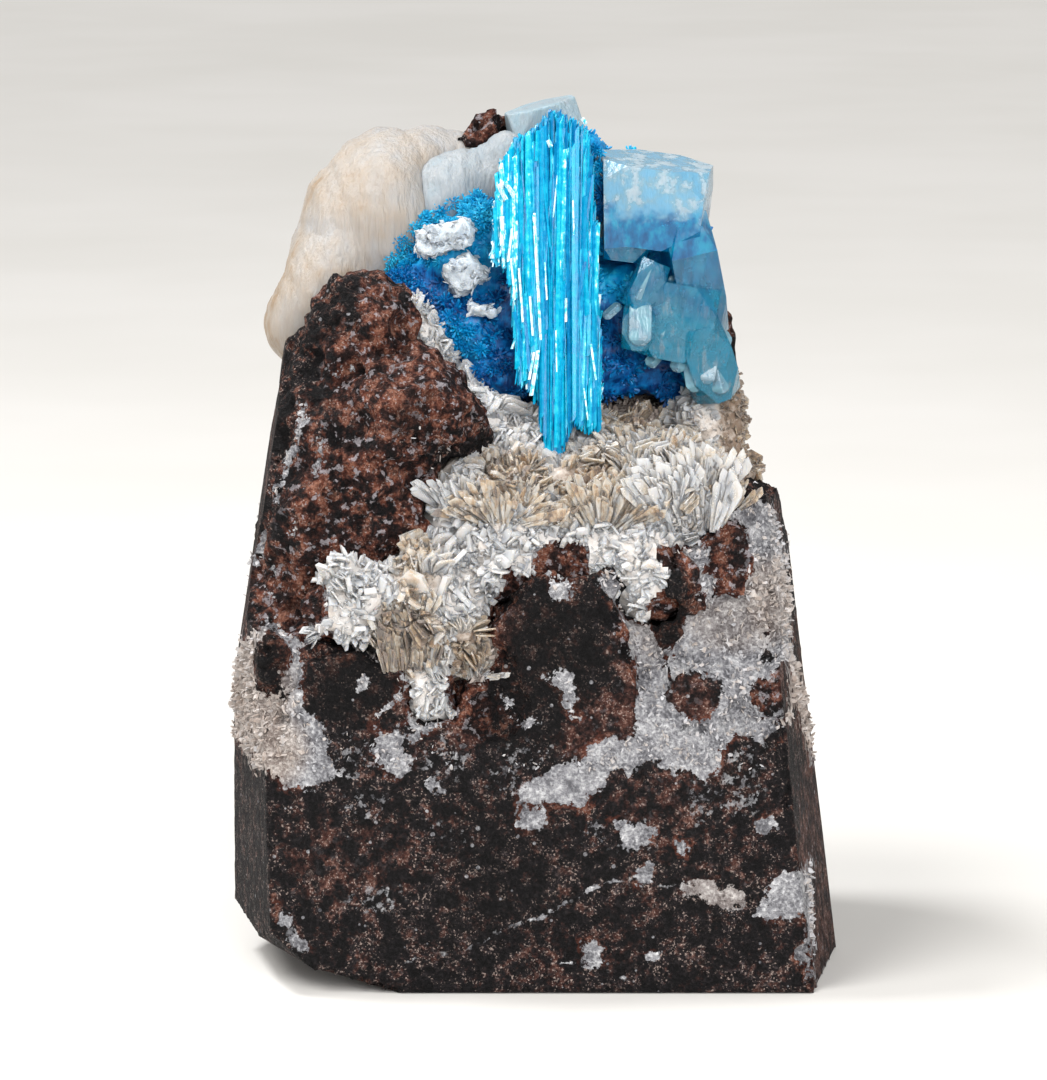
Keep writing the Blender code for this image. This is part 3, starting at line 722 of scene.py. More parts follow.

# %% [markdown]
# The rock's material mixes four things by masks: nearly black basalt, red-brown basalt, rust, and pale
# cement. The mask of the cement is the stored distance with noise added, so its edge is crisp and
# frayed. Small pits, grains and faint saw marks go into the bump. The pits, bubbles and dips also get
# painted shade: their colour is darkened nearly to black.

# %% Basalt material


def cement_mask(tree):
    """Where the stone is pale: the traced areas with frayed edges, strewn grains and the thin veins."""
    fine = centred(tree, cloudy(tree, 0.30))
    broad = centred(tree, cloudy(tree, 1.1))
    fray = times_plus(tree, fine, 0.36, times(tree, broad, 0.40))
    edge = maths(tree, "ADD", point_value(tree, "cement"), fray)
    body = graded(tree, edge, -0.03, 0.05)
    strewn = times_plus(tree, point_value(tree, "sprinkle"), 0.55, times(tree, broad, 0.5))
    salt = graded(tree, times_plus(tree, fine, 1.3, strewn), 0.42, 0.75)
    salt = times(tree, salt, graded(tree, point_value(tree, "sprinkle"), 0.0, 0.3))
    near = times_plus(tree, fine, 0.16, point_value(tree, "vein"))
    vein = times(tree, graded(tree, near, 0.09, 0.03), graded(tree, broad, -0.25, 0.2))
    dots = dotted(tree, 0.26, 0.03)
    thin = larger(tree, times(tree, salt, 0.5), times(tree, dots, 0.6))
    return larger(tree, body, larger(tree, thin, vein)), edge


def stone_colour(tree, edge, pits):
    """Black to red-brown basalt with rusty rims, darker in the holes with painted shade."""
    blotch = cloudy(tree, 2.6)
    patch = cloudy(tree, 0.75)
    crumb = cloudy(tree, 0.17)
    shade = times_plus(tree, crumb, 0.45, times(tree, patch, 0.55))
    reddish = times_plus(tree, centred(tree, blotch), 0.35, point_value(tree, "red"))
    grainy = cloudy(tree, 0.28)
    reddish = times_plus(tree, centred(tree, grainy, 0.35), 0.75, reddish)
    reddish = times_plus(tree, centred(tree, patch), 0.5, reddish)
    gaps = graded(tree, cloudy(tree, 1.25), 0.52, 0.68)
    reddish = times_plus(tree, gaps, -0.35, reddish)
    reddish = graded(tree, reddish, 0.0, 0.85)
    black = ramp(tree, shade, [(0.0, "#030303"), (0.4, "#0e0c0e"), (0.75, "#1c1719"), (1.0, "#463d3e")])
    brown = ramp(tree, shade, [(0.0, "#0b0505"), (0.35, "#241412"), (0.7, "#432a25"), (1.0, "#7d6259")])
    rust = ramp(tree, shade, [(0.0, "#30140c"), (0.5, "#5f3225"), (1.0, "#9b6b57")])
    stone = blended(tree, reddish, black, brown)
    rim = times(tree, graded(tree, edge, -0.32, -0.06), graded(tree, blotch, 0.45, 0.8))
    broken = times_plus(tree, point_value(tree, "sawn"), -0.85, 1.0)
    rusty = times(tree, graded(tree, patch, 0.25, 0.75), times(tree, reddish, 0.85))
    rusty = times(tree, rusty, broken)
    stone = blended(tree, larger(tree, rusty, times(tree, rim, 0.6)), stone, rust)
    # Pale flecks and scraps: partly the rock's own specks, partly painted sheen on the rough faces.
    fleck_and_sheen = cloudy(tree, 0.11)
    fleck_and_sheen = times(tree, graded(tree, fleck_and_sheen, 0.73, 0.97), graded(tree, patch, 0.35, 0.75))
    stone = blended(tree, times(tree, fleck_and_sheen, 0.7), stone, paint("#b09d94"))
    scraps_and_sheen = graded(tree, cloudy(tree, 0.42), 0.76, 0.90)
    on_rust = graded(tree, point_value(tree, "red"), 0.1, 0.6)
    scraps_and_sheen = times(tree, scraps_and_sheen, times(tree, broken, on_rust))
    stone = blended(tree, times(tree, scraps_and_sheen, 0.7), stone, paint("#a09a9f"))
    # Painted shade: the pits and the stored hollow value darken the colour nearly to black.
    dark = larger(tree, times(tree, pits, 0.75), point_value(tree, "hollow_shade_and_black"))
    return blended(tree, times(tree, dark, 0.85), stone, paint("#040304")), crumb


def cement_colour(tree):
    """Sugary grey-white cement that is rosy in places."""
    sugar = cloudy(tree, 0.16)
    cloud = cloudy(tree, 0.9)
    shade = times_plus(tree, sugar, 0.5, times(tree, cloud, 0.5))
    grey = ramp(tree, shade, [(0.0, "#38373b"), (0.3, "#737378"), (0.6, "#a2a2a6"), (1.0, "#d6d6d8")])
    rosy = ramp(tree, shade, [(0.0, "#4a3e38"), (0.3, "#877a73"), (0.6, "#aba099"), (1.0, "#d8cfc9")])
    return blended(tree, point_value(tree, "warm"), grey, rosy), sugar


def make_basalt():
    """Dark basalt and pale cement in one material, matt and rough, duller and flatter where it is sawn."""
    material, tree, shader = new_material("basalt")
    pale, edge = cement_mask(tree)
    pits = dotted(tree, 0.55, 0.30)
    small_pits = dotted(tree, 0.24, 0.35)
    stone, crumb = stone_colour(tree, edge, larger(tree, pits, times(tree, small_pits, 0.6)))
    cement, sugar = cement_colour(tree)
    tree.links.new(blended(tree, pale, stone, cement), shader.inputs["Base Color"])

    # Roughness and relief
    gloss = times_plus(tree, pale, -0.25, times_plus(tree, crumb, -0.25, 0.88))
    tree.links.new(gloss, shader.inputs["Roughness"])
    holes = times_plus(tree, small_pits, -0.06, times(tree, pits, -0.14))
    lumps = cloudy(tree, 0.62)
    broken = times_plus(tree, point_value(tree, "sawn"), -0.14, 0.17)
    grit = times_plus(tree, crumb, 0.10, times_plus(tree, lumps, broken, holes))
    place = put(tree, "ShaderNodeTexCoord").outputs["Object"]
    saw = put(tree, "ShaderNodeTexWave", {"Vector": place, "Scale": 0.31 / MM, "Distortion": 1.2,
                                          "Detail": 2.0, "Detail Scale": 1.5},
              bands_direction="Z").outputs["Fac"]
    marks = times(tree, times(tree, saw, 0.02), point_value(tree, "sawn"))
    height = put(tree, "ShaderNodeMix", {0: pale, 2: maths(tree, "ADD", grit, marks),
                                         3: times_plus(tree, sugar, 0.12, 0.05)}).outputs[0]
    bumped(tree, shader, height, 1.0)
    set_inputs(shader, Specular_IOR_Level=0.18)
    return material


basalt = make_basalt()
rock = finish_piece("basalt_breccia", rock_bm, [basalt], ["basalt_matrix"],
                    values=rock_values)

# %% [markdown]
# ## Crystal materials
# Stilbite is white to beige and half see-through: light enters a plate and comes out again beside it.
# Subsurface scattering and some plain transmission do that. Each plate has its own tint, a number on its
# points that says how beige it is, and cloudy noise breaks up the rest. The pale grains, the bed under the
# plates and the softer masses are the same material with other numbers.

# %% Stilbite materials


def make_crystal(name, stops, see_through, scatter, roughness, cloud_size=0.5, line_size=0.09, stretch=0.12,
                 relief=0.02):
    """A pale crystal: its colours by tint, its cloudiness, and fine growth lines along Z in the bump."""
    material, tree, shader = new_material(name)
    clouds = cloudy(tree, cloud_size)
    lines = cloudy(tree, line_size, stretch)
    share = times_plus(tree, centred(tree, clouds), 0.4, point_value(tree, "tint"))
    streaks = cloudy(tree, line_size * 3, stretch)
    share = times_plus(tree, centred(tree, streaks), 0.3, share, clamp=True)
    tree.links.new(ramp(tree, share, stops), shader.inputs["Base Color"])
    tree.links.new(times_plus(tree, clouds, 0.25, roughness), shader.inputs["Roughness"])
    bumped(tree, shader, times(tree, lines, relief), 0.6)
    set_inputs(shader, Transmission_Weight=see_through, IOR=1.5, Subsurface_Weight=scatter,
               Subsurface_Radius=(1.0, 0.85, 0.7), Subsurface_Scale=0.5 * MM)
    return material


stilbite = make_crystal(
    "stilbite_crystal",
    [(0.0, "#f1eeec"), (0.35, "#eee7e1"), (0.65, "#dccbba"), (0.85, "#bda48c"), (1.0, "#867a72")],
    see_through=0.3, scatter=0.85, roughness=0.08)
stilbite_bed = make_crystal(
    "stilbite_bed", [(0.0, "#dddad8"), (0.4, "#d6ccc3"), (1.0, "#84705f")],
    see_through=0.0, scatter=0.0, roughness=0.3, relief=0.06, stretch=1.0)
sugar = make_crystal(
    "sugary_zeolite", [(0.0, "#b9b9bd"), (0.4, "#b3aaa4"), (1.0, "#97857a")],
    see_through=0.0, scatter=0.0, roughness=0.2)
snowy = make_crystal(
    "snowy_stilbite", [(0.0, "#b3bdc6"), (0.5, "#c2cad1"), (1.0, "#d4dade")],
    see_through=0.0, scatter=0.9, roughness=0.42, stretch=1.0, relief=0.04)
cream = make_crystal(
    "cream_crystal", [(0.0, "#a3a3a4"), (0.4, "#a59f99"), (0.75, "#a4998d"), (1.0, "#95826d")],
    see_through=0.0, scatter=0.7, roughness=0.38, cloud_size=2.2, line_size=0.22, stretch=0.08, relief=0.09)
milky = make_crystal(
    "milky_crystal", [(0.0, "#acb0b3"), (0.4, "#9da5ab"), (1.0, "#92a9b4")],
    see_through=0.1, scatter=0.6, roughness=0.34, cloud_size=1.2, line_size=0.2, stretch=0.1, relief=0.09)
print("crystal materials:", [m.name for m in (stilbite, stilbite_bed, sugar, snowy, cream, milky)])

# %% [markdown]
# ## The stilbite druse
# The pocket is lined with glassy chips that point every way, as crushed ice does, and in the beige places
# narrow blades stand in fans, as the pages of a half-open book. A chip is a lopsided four- to seven-sided
# disc with some thickness, and a blade is a thin wedge that is narrow at its root and blunt at its tip. All
# are stamped over a softly lumpy bed. Where the photograph shows a fan or a large plate, it is placed there
# by following the line of sight down to the bed.

# %% Templates: chip, blade and fan


def chip_template(sides, seed):
    """A thin lopsided chip, one unit high, half as wide and thin along Y, standing on the origin."""
    draw = random.Random(seed)
    bm = bmesh.new()
    bmesh.ops.create_circle(bm, cap_ends=True, segments=sides, radius=0.5)
    turn = Matrix.Rotation(math.pi / sides + draw.uniform(-0.2, 0.2), 3, "Z")
    bmesh.ops.rotate(bm, matrix=turn, verts=bm.verts)
    for v in bm.verts:
        v.co += Vector((draw.uniform(-0.09, 0.09), draw.uniform(-0.09, 0.09), 0))
    bmesh.ops.scale(bm, vec=(1.1, 0.6, 1.0), verts=bm.verts)
    grown = bmesh.ops.extrude_face_region(bm, geom=bm.faces[:])
    lifted = [g for g in grown["geom"] if isinstance(g, bmesh.types.BMVert)]
    bmesh.ops.translate(bm, vec=(0, 0, 0.08), verts=lifted)
    bmesh.ops.scale(bm, vec=(0.9, 0.85, 1.0), verts=lifted)
    bmesh.ops.translate(bm, vec=(0.35, 0, -0.04), verts=bm.verts)
    bmesh.ops.rotate(bm, matrix=Matrix.Rotation(math.radians(-90), 3, "Y"), verts=bm.verts)
    bmesh.ops.rotate(bm, matrix=Matrix.Rotation(math.radians(90), 3, "Z"), verts=bm.verts)
    return as_template(bm, "chip")


def lath_template():
    """A thin blade, narrow at its root and blunt at its tip, one unit high and thin along Y."""
    bm = bmesh.new()
    bmesh.ops.create_cube(bm, size=1.0)
    bmesh.ops.scale(bm, vec=(1.0, 0.08, 1.0), verts=bm.verts)
    bmesh.ops.translate(bm, vec=(0, 0, 0.5), verts=bm.verts)
    for v in bm.verts:
        if v.co.z > 0.5:
            v.co.z += 0.16 * v.co.x
        else:
            v.co.x *= 0.4
    high = [e for e in bm.edges if all(v.co.z > 0.5 for v in e.verts)]
    tips = [e for e in high if abs(e.verts[0].co.x - e.verts[1].co.x) < 0.1]
    bmesh.ops.bevel(bm, geom=tips, offset=0.16, affect="EDGES", segments=1, profile=0.5, material=-1)
    return as_template(bm, "lath")


def fan_template(blade, blades, spread, seed):
    """Blades fanned out from one root over spread degrees, each a little different."""
    draw = random.Random(seed)
    bm = bmesh.new()
    for i in range(blades):
        angle = math.radians(spread) * (i / (blades - 1) - 0.5) + draw.uniform(-0.08, 0.08)
        tall = draw.uniform(0.75, 1.1)
        place = Matrix.Rotation(angle, 4, "X") @ Matrix.Rotation(draw.uniform(-0.35, 0.35), 4, "Z")
        lean = Matrix.Rotation(draw.uniform(-0.25, 0.25), 4, "Y")
        stamp(bm, blade, lean @ place @ Matrix.Diagonal((tall * draw.uniform(0.8, 1.1), 1, tall, 1)))
    return as_template(bm, "fan")


lath = lath_template()
chips = [chip_template(sides, seed) for seed, sides in enumerate((4, 6, 5, 6, 4, 7), start=1)]
fans = [fan_template(lath, *kind) for kind in ((7, 80, 3), (6, 55, 4), (9, 110, 5))]
print("lath faces:", len(lath.polygons), "fan faces:", [len(f.polygons) for f in fans])

# %% Tint zones of the druse, as seen
# Each zone is (centre, half sizes, tint); elsewhere the plates are white.
BEIGE_ZONES = [
    ((512, 482), (38, 30), 0.80), ((600, 484), (46, 38), 0.72), ((686, 470), (40, 56), 0.50),
    ((726, 490), (20, 26), 0.70), ((415, 570), (22, 40), 0.62), ((470, 655), (26, 30), 0.75),
    ((640, 420), (40, 22), 0.78), ((742, 405), (24, 115), 0.95), ((450, 450), (24, 24), 0.30),
    ((560, 500), (40, 26), 0.62), ((405, 636), (34, 36), 0.98),
]


def oval_share(place, ovals):
    """How strongly one point is seen in any of the soft ovals."""
    return float(in_ovals(seen_at(np.array([place])), ovals)[0])


def druse_tint(place, draw):
    """How beige a plate is at a place, from white at 0 to grey-brown at 1."""
    return min(1.0, 0.06 + oval_share(place, BEIGE_ZONES) + draw.uniform(-0.1, 0.12))

# %% Build the druse
FAN_COUNT = 150
PLATE_COUNT = 7200
PLATE_HEIGHTS = (0.25, 0.36, 0.48, 0.65, 0.9)
DRUSE_DEPTH = -7  # the depth of the pocket's front in millimetres, where no surface is met
# The right inner wall of the pocket, in millimetres: the bed is drawn in beyond WALL_X, and the plates
# beyond WALL_PLATES_X are small.
WALL_X = 8.6
WALL_FOOT = 22.8
WALL_DRAWN_IN = 0.35
WALL_PLATES_X = 7.6
# Large plates and blades that the photograph shows one by one:
# (place seen, height and width in mm, lean sideways and forwards in degrees, spin, tint).
SHOWN_PLATES = [
    ((640, 535), (1.3, 0.9), (-10, 35), 0, 0.1), ((470, 540), (1.7, 1.1), (-16, 35), 25, 0.15),
    ((432, 572), (1.8, 1.2), (20, 30), -30, 0.3), ((418, 590), (2.0, 1.3), (-20, 25), 15, 0.45),
    ((445, 590), (1.6, 1.0), (10, 40), 50, 0.05), ((378, 640), (1.8, 0.8), (-20, 8), 5, 0.4),
    ((455, 560), (1.3, 1.0), (75, 20), 10, 0.05), ((437, 545), (1.5, 1.0), (60, 30), -20, 0.1),
    ((440, 648), (1.9, 0.9), (-35, 20), 20, 0.3), ((462, 600), (1.6, 1.1), (-55, 25), 0, 0.0),
    ((642, 500), (1.3, 1.1), (20, 20), 5, 0.02), ((655, 520), (1.2, 0.8), (-30, 40), 30, 0.05),
    ((612, 428), (1.3, 1.2), (-20, 15), 10, 0.6), ((640, 418), (1.5, 1.3), (15, 10), -15, 0.7),
    ((664, 432), (1.4, 1.2), (-10, 15), 20, 0.65), ((330, 575), (1.2, 0.9), (-50, 30), 10, 0.1),
    ((352, 590), (1.3, 0.9), (35, 30), 20, 0.1), ((478, 520), (1.2, 0.9), (-30, 30), 20, 0.1),
    ((540, 525), (1.2, 0.9), (25, 30), -10, 0.15), ((500, 550), (1.1, 0.8), (-50, 30), 20, 0.0),
]


# Fans of blades that are seen from their flat side: (root as seen, its half width in pixels, length of the
# blades in mm, directions from and to in degrees, number of blades, tint).
SHOWN_FANS = [
    ((500, 522), 24, 2.2, (10, 170), 80, 0.84), ((520, 506), 16, 1.6, (30, 140), 40, 0.76),
    ((600, 526), 28, 2.4, (15, 165), 100, 0.80), ((588, 508), 20, 1.9, (50, 160), 50, 0.70),
    ((690, 528), 30, 3.3, (70, 128), 130, 0.46), ((672, 500), 20, 2.2, (60, 140), 60, 0.36),
    ((706, 490), 20, 2.4, (50, 110), 60, 0.50), ((456, 504), 22, 1.7, (60, 150), 50, 0.36),
    ((408, 668), 26, 2.7, (82, 98), 90, 1.00), ((428, 664), 12, 2.2, (72, 95), 30, 0.90),
    ((475, 676), 16, 1.1, (0, 180), 60, 0.66), ((412, 622), 14, 1.6, (60, 125), 30, 0.80),
    ((640, 470), 18, 1.5, (20, 130), 40, 0.60), ((724, 506), 18, 1.5, (30, 150), 50, 0.80),
    ((646, 452), 40, 1.3, (40, 140), 80, 0.66),
]


def shown_fan(bm, trees, entry, draw):
    """Three layers of blades that spread from one root, facing the front. Returns their points' tints."""
    (u, v), half, long, (low, high), count, tint = entry
    tints = []
    for i in range(count):
        share = draw.random()
        root = (u - half + 2 * half * (1 - share), v + draw.uniform(-4, 4))
        spot = seen_on(trees, *root, DRUSE_DEPTH)
        turn = math.radians(low + (high - low) * share + draw.uniform(-6, 6))
        axis = Vector((math.cos(turn), draw.uniform(-0.35, 0.05), math.sin(turn))).normalized()
        flat = Vector((draw.uniform(-0.8, 0.8), -1.0, draw.uniform(-0.3, 0.6))).normalized()
        side = flat.cross(axis).normalized()
        layer = i % 3
        grown = long * (0.95 - 0.22 * layer) * draw.uniform(0.7, 1.0)
        wide = grown * draw.uniform(0.12, 0.34)
        pose = Matrix((side * wide, axis.cross(side) * 1.2, axis * grown)).transposed() * MM
        stamp(bm, lath, Matrix.Translation(spot + flat * (0.14 * layer - 0.05) * MM) @ pose.to_4x4())
        tints.extend([unit(tint - 0.08 + draw.uniform(-0.1, 0.1))] * len(lath.vertices))
    return tints


def over_fragment(points):
    """How far inside a dark fragment of the rock each point is seen, in pixels."""
    spots = seen_at(points)
    frayed = np.array([ripple(Vector(p), 0.55, 3.0) for p in points])
    return np.max([inside_by(spots, o) for o in DARK_AREAS], axis=0) + 3.0 * frayed


def shown_plate(bm, trees, entry):
    """Stands one plate where the photograph shows it, rooted in the bed. Returns its points' tints."""
    (u, v), (tall, wide), (side, forward), spin, tint = entry
    spot = seen_on(trees, u, v, DRUSE_DEPTH)
    axis = Vector((math.sin(math.radians(side)), -math.sin(math.radians(forward)), 1.0)).normalized()
    shape = chips[spin % 4]
    size = (2 * wide * MM, 2.2 * tall * MM, tall * MM)
    stamp(bm, shape, standing(spot - axis * 0.25 * tall * MM, axis, math.radians(spin + 180), size))
    return [tint] * len(shape.vertices)


def build_druse():
    """The bed with its chips and fans, the tint of each point, and its distance from the bare fragments."""
    draw = random.Random(11)
    bm = reskin(copy_of("stilbite_druse"), 0.26)
    even_out(bm, 2)
    over = np.clip(over_fragment(vertices_of(bm)) / 5, -1, 1)
    for v, share in zip(bm.verts, over):
        v.co += v.normal * ((0.22 * ripple(v.co, 0.8, 2.0) + 0.20 - 0.30 * max(0.0, share)) * MM)
        if v.co.x > WALL_X * MM and v.co.z > WALL_FOOT * MM:
            v.co.x -= WALL_DRAWN_IN * (v.co.x - WALL_X * MM)
    bm.normal_update()
    trees = [tree_of(bm), tree_of_piece(rock)]
    spots = spots_on(bm, FAN_COUNT + PLATE_COUNT, 12, trees[1:])
    bed_faces = len(bm.faces)
    tints = [druse_tint(v.co, draw) for v in bm.verts]
    behind = over_fragment(vertices_of(bm))
    bm.verts.index_update()
    for face in bm.faces:
        face.material_index = 2 if all(behind[v.index] > -4 for v in face.verts) else 1
    covered = over_fragment(np.array([place for place, _ in spots]))
    for i, (place, normal) in enumerate(spots):
        if covered[i] > 0:
            continue
        tint = druse_tint(place, draw)
        wall = place.x > WALL_PLATES_X * MM and place.z > WALL_FOOT * MM
        if i < FAN_COUNT and not wall and (tint > 0.35 or i % 4 == 0):
            shape, tall = draw.choice(fans), draw.uniform(0.7, 1.3)
            wide, thick = tall * draw.uniform(0.9, 1.3), tall * 0.8
            axis = leaned((normal + Vector((0, -0.1, 0.3))).normalized(), 0.8, draw)
        else:
            shape, tall = draw.choice(chips), draw.choice(PLATE_HEIGHTS) * draw.uniform(0.8, 1.2)
            tall *= 0.5 if wall else 1.0
            wide = tall * draw.choice((0.4, 0.7, 1.1, 1.7))
            thick = tall * draw.uniform(0.9, 3.2)
            axis = leaned((normal + Vector((0, -0.1, 0.2))).normalized(), 1.35, draw)
        spot = place + normal * 0.04 * MM - axis * 0.2 * tall * MM
        stamp(bm, shape, standing(spot, axis, draw.uniform(0, math.tau), (wide * MM, thick * MM, tall * MM)))
        tints.extend([tint] * len(shape.vertices))
    for entry in SHOWN_PLATES:
        tints.extend(shown_plate(bm, trees, entry))
    for entry in SHOWN_FANS:
        tints.extend(shown_fan(bm, trees, entry, draw))
    bm.faces.ensure_lookup_table()
    for face in bm.faces[bed_faces:]:
        face.material_index = 0
        face.smooth = False
    depth = np.full(len(bm.verts), 1.0)
    depth[:len(behind)] = behind * -PIXEL / MM
    return bm, tints, {"cement": np.clip(depth, -1.5, 1.5)}


druse_bm, druse_tints, druse_values = build_druse()
# The bare rock behind the druse also gets a little of the painted shade that darkens the rock's hollows.
BARE_ROCK = {"vein": 1.0, "red": 0.8, "hollow_shade_and_black": 0.15, "sprinkle": 0.1, "warm": 0.1, "sawn": 0.0}
for key, number in BARE_ROCK.items():
    druse_values[key] = np.full(len(druse_bm.verts), number)
finish_piece("stilbite_plates", druse_bm, [stilbite, stilbite_bed, basalt], ["stilbite_druse"],
             tints=druse_tints, values=druse_values)

# %% [markdown]
# ## The cream mass, the milky zone and the top crystal
# Behind the pocket stands a mass of stilbite blades grown so tightly together that only soft upright ribs
# show. Its solid is given an even skin, and the ribs are pressed in with a wave that wanders.

# %% Cream and milky pieces
MASS_SMOOTHINGS = 110


def ribbed(bm, pitch, depth, out, lump, seed):
    """Swells a skin by out millimetres and presses soft leaning ribs and lumps into it."""
    def rule(co):
        across = (co.x + 0.35 * co.z) / (pitch * MM) + 0.6 * ripple(co, 3.0, seed)
        fine = (co.x + 0.35 * co.z) / (pitch * 0.31 * MM) + 0.9 * ripple(co, 1.6, seed + 5)
        ridges = abs(math.sin(across * math.pi)) - 0.6 + 0.35 * (abs(math.sin(fine * math.pi)) - 0.6)
        return out + depth * ridges + lump * ripple(co, 1.9, seed + 9)

    swell(bm, rule)


def build_mass(source, voxel, pitch, depth, out, lump, tint_of):
    """A well smoothed skin over a solid, swollen back to its size and ribbed, and its points' tints."""
    bm = reskin(copy_of(source), voxel)
    even_out(bm, MASS_SMOOTHINGS)
    ribbed(bm, pitch, depth, out, lump, 4.0)
    return bm, [tint_of(v.co) for v in bm.verts]


def cream_tint(co):
    """Warmer at the left, paler towards the middle."""
    edge = (co.x / MM + 7.5) / 6.0
    return unit(0.45 - 0.35 * edge + 0.3 * ripple(co, 2.2, 3.0))


mass_bm, mass_tints = build_mass("cream_stilbite", voxel=0.17, pitch=0.9, depth=0.06, out=0.66, lump=0.10,
                                 tint_of=cream_tint)
cream_mass = finish_piece("cream_stilbite_mass", mass_bm, [cream], ["cream_stilbite"],
                          tints=mass_tints)
mass_bm, mass_tints = build_mass("milky_stilbite", voxel=0.15, pitch=0.8, depth=0.05, out=0.72, lump=0.22,
                                 tint_of=lambda co: 0.35)
milky_mass = finish_piece("milky_stilbite_mass", mass_bm, [milky], ["milky_stilbite"],
                          tints=mass_tints)


def bevelled(name, width):
    """A copy of a faceted solid with its edges softened."""
    bm = copy_of(name)
    bmesh.ops.dissolve_limit(bm, angle_limit=math.radians(4), verts=bm.verts, edges=bm.edges)
    sharp = [e for e in bm.edges if len(e.link_faces) == 2 and e.calc_face_angle(0) > math.radians(22)]
    bmesh.ops.bevel(bm, geom=sharp, offset=width * MM, affect="EDGES", segments=2, profile=0.5, material=-1,
                    clamp_overlap=True)
    bmesh.ops.triangulate(bm, faces=bm.faces)
    bmesh.ops.recalc_face_normals(bm, faces=bm.faces)
    return bm


top_bm = bevelled("milky_top_crystal", width=0.4)
finish_piece("milky_top_prism", top_bm, [milky], ["milky_top_crystal"],
             tints=[0.8] * len(top_bm.verts))

# %% [markdown]
# ## The deep blue crust
# Cavansite grows in small balls of needles that all point away from one centre. One needle is a four-sided
# cone with a pointed end. One ball is some thirty needles on evenly spread directions, and a few hundred
# balls of different sizes cover a darker bed.

# %% Needle and needle ball


def needle_template():
    """A four-sided needle along +Z with a pyramid on its end, one unit long."""
    bm = bmesh.new()
    bmesh.ops.create_cone(bm, cap_ends=True, segments=4, radius1=0.4, radius2=0.5, depth=0.85)
    bmesh.ops.translate(bm, vec=(0, 0, 0.425), verts=bm.verts)
    top = [f for f in bm.faces if all(v.co.z > 0.8 for v in f.verts)]
    bmesh.ops.poke(bm, faces=top, offset=0.15)
    return as_template(bm, "needle")


def ball_template(needle, needles, width, seed):
    """Needles on evenly spread directions of the upper part of a sphere."""
    draw = random.Random(seed)
    bm = bmesh.new()
    golden = math.pi * (3 - math.sqrt(5))
    for i in range(needles):
        z = 1 - 1.5 * (i + 0.5) / needles
        ring = math.sqrt(max(0.0, 1 - z * z))
        out = Vector((ring * math.cos(i * golden), ring * math.sin(i * golden), z))
        long = draw.uniform(0.72, 1.1)
        size = (width * draw.uniform(0.7, 1.3), width * draw.uniform(0.7, 1.3), long)
        stamp(bm, needle, standing(Vector(), leaned(out, 0.25, draw), draw.uniform(0, 3), size))
    return as_template(bm, "ball")


needle = needle_template()
balls = [ball_template(needle, *kind) for kind in ((28, 0.21, 21), (32, 0.17, 22), (24, 0.24, 23))]
print("needle faces:", len(needle.polygons), "ball faces:", [len(b.polygons) for b in balls])

# %% Where the blue is light, and where it reaches over its neighbours
# Light zones, as seen: (centre, half sizes, lightness).
LIGHT_BLUE_ZONES = [
    ((440, 210), (70, 26), 0.85), ((390, 250), (30, 24), 0.9), ((470, 230), (40, 60), 0.6),
    ((630, 245), (50, 24), 0.45), ((590, 150), (20, 40), 0.5), ((630, 150), (16, 14), 0.9),
    ((450, 340), (40, 24), 0.4), ((618, 284), (30, 20), 0.75), ((440, 250), (40, 20), 0.6),
]
BALL_COUNT = 290
# The solids that cover parts of the crust's bed, apart from the clear blocks.
CRUST_NEIGHBOURS = ["cavansite_spray", "basalt_matrix", "stilbite_druse", "cream_stilbite", "milky_stilbite"]
# Where balls sit on the neighbours, as seen: (outline, number of balls, depth in mm or None for the
# nearest surface).
BLUE_AREAS = [
    ([(384, 266), (392, 248), (404, 232), (420, 217), (440, 207), (465, 198), (492, 191), (500, 215),
      (480, 240), (440, 250), (410, 268)], 112, None),
    ([(378, 262), (400, 262), (440, 300), (480, 340), (520, 372), (516, 386), (495, 372), (450, 335),
      (412, 300)], 56, None),
    ([(593, 148), (602, 148), (603, 250), (595, 258)], 14, -1.2),
]


def blue_tint(place, draw):
    """How light the blue is at a place."""
    return unit(0.11 + 0.7 * oval_share(place, LIGHT_BLUE_ZONES) + draw.uniform(-0.12, 0.16))

# %% Build the crust


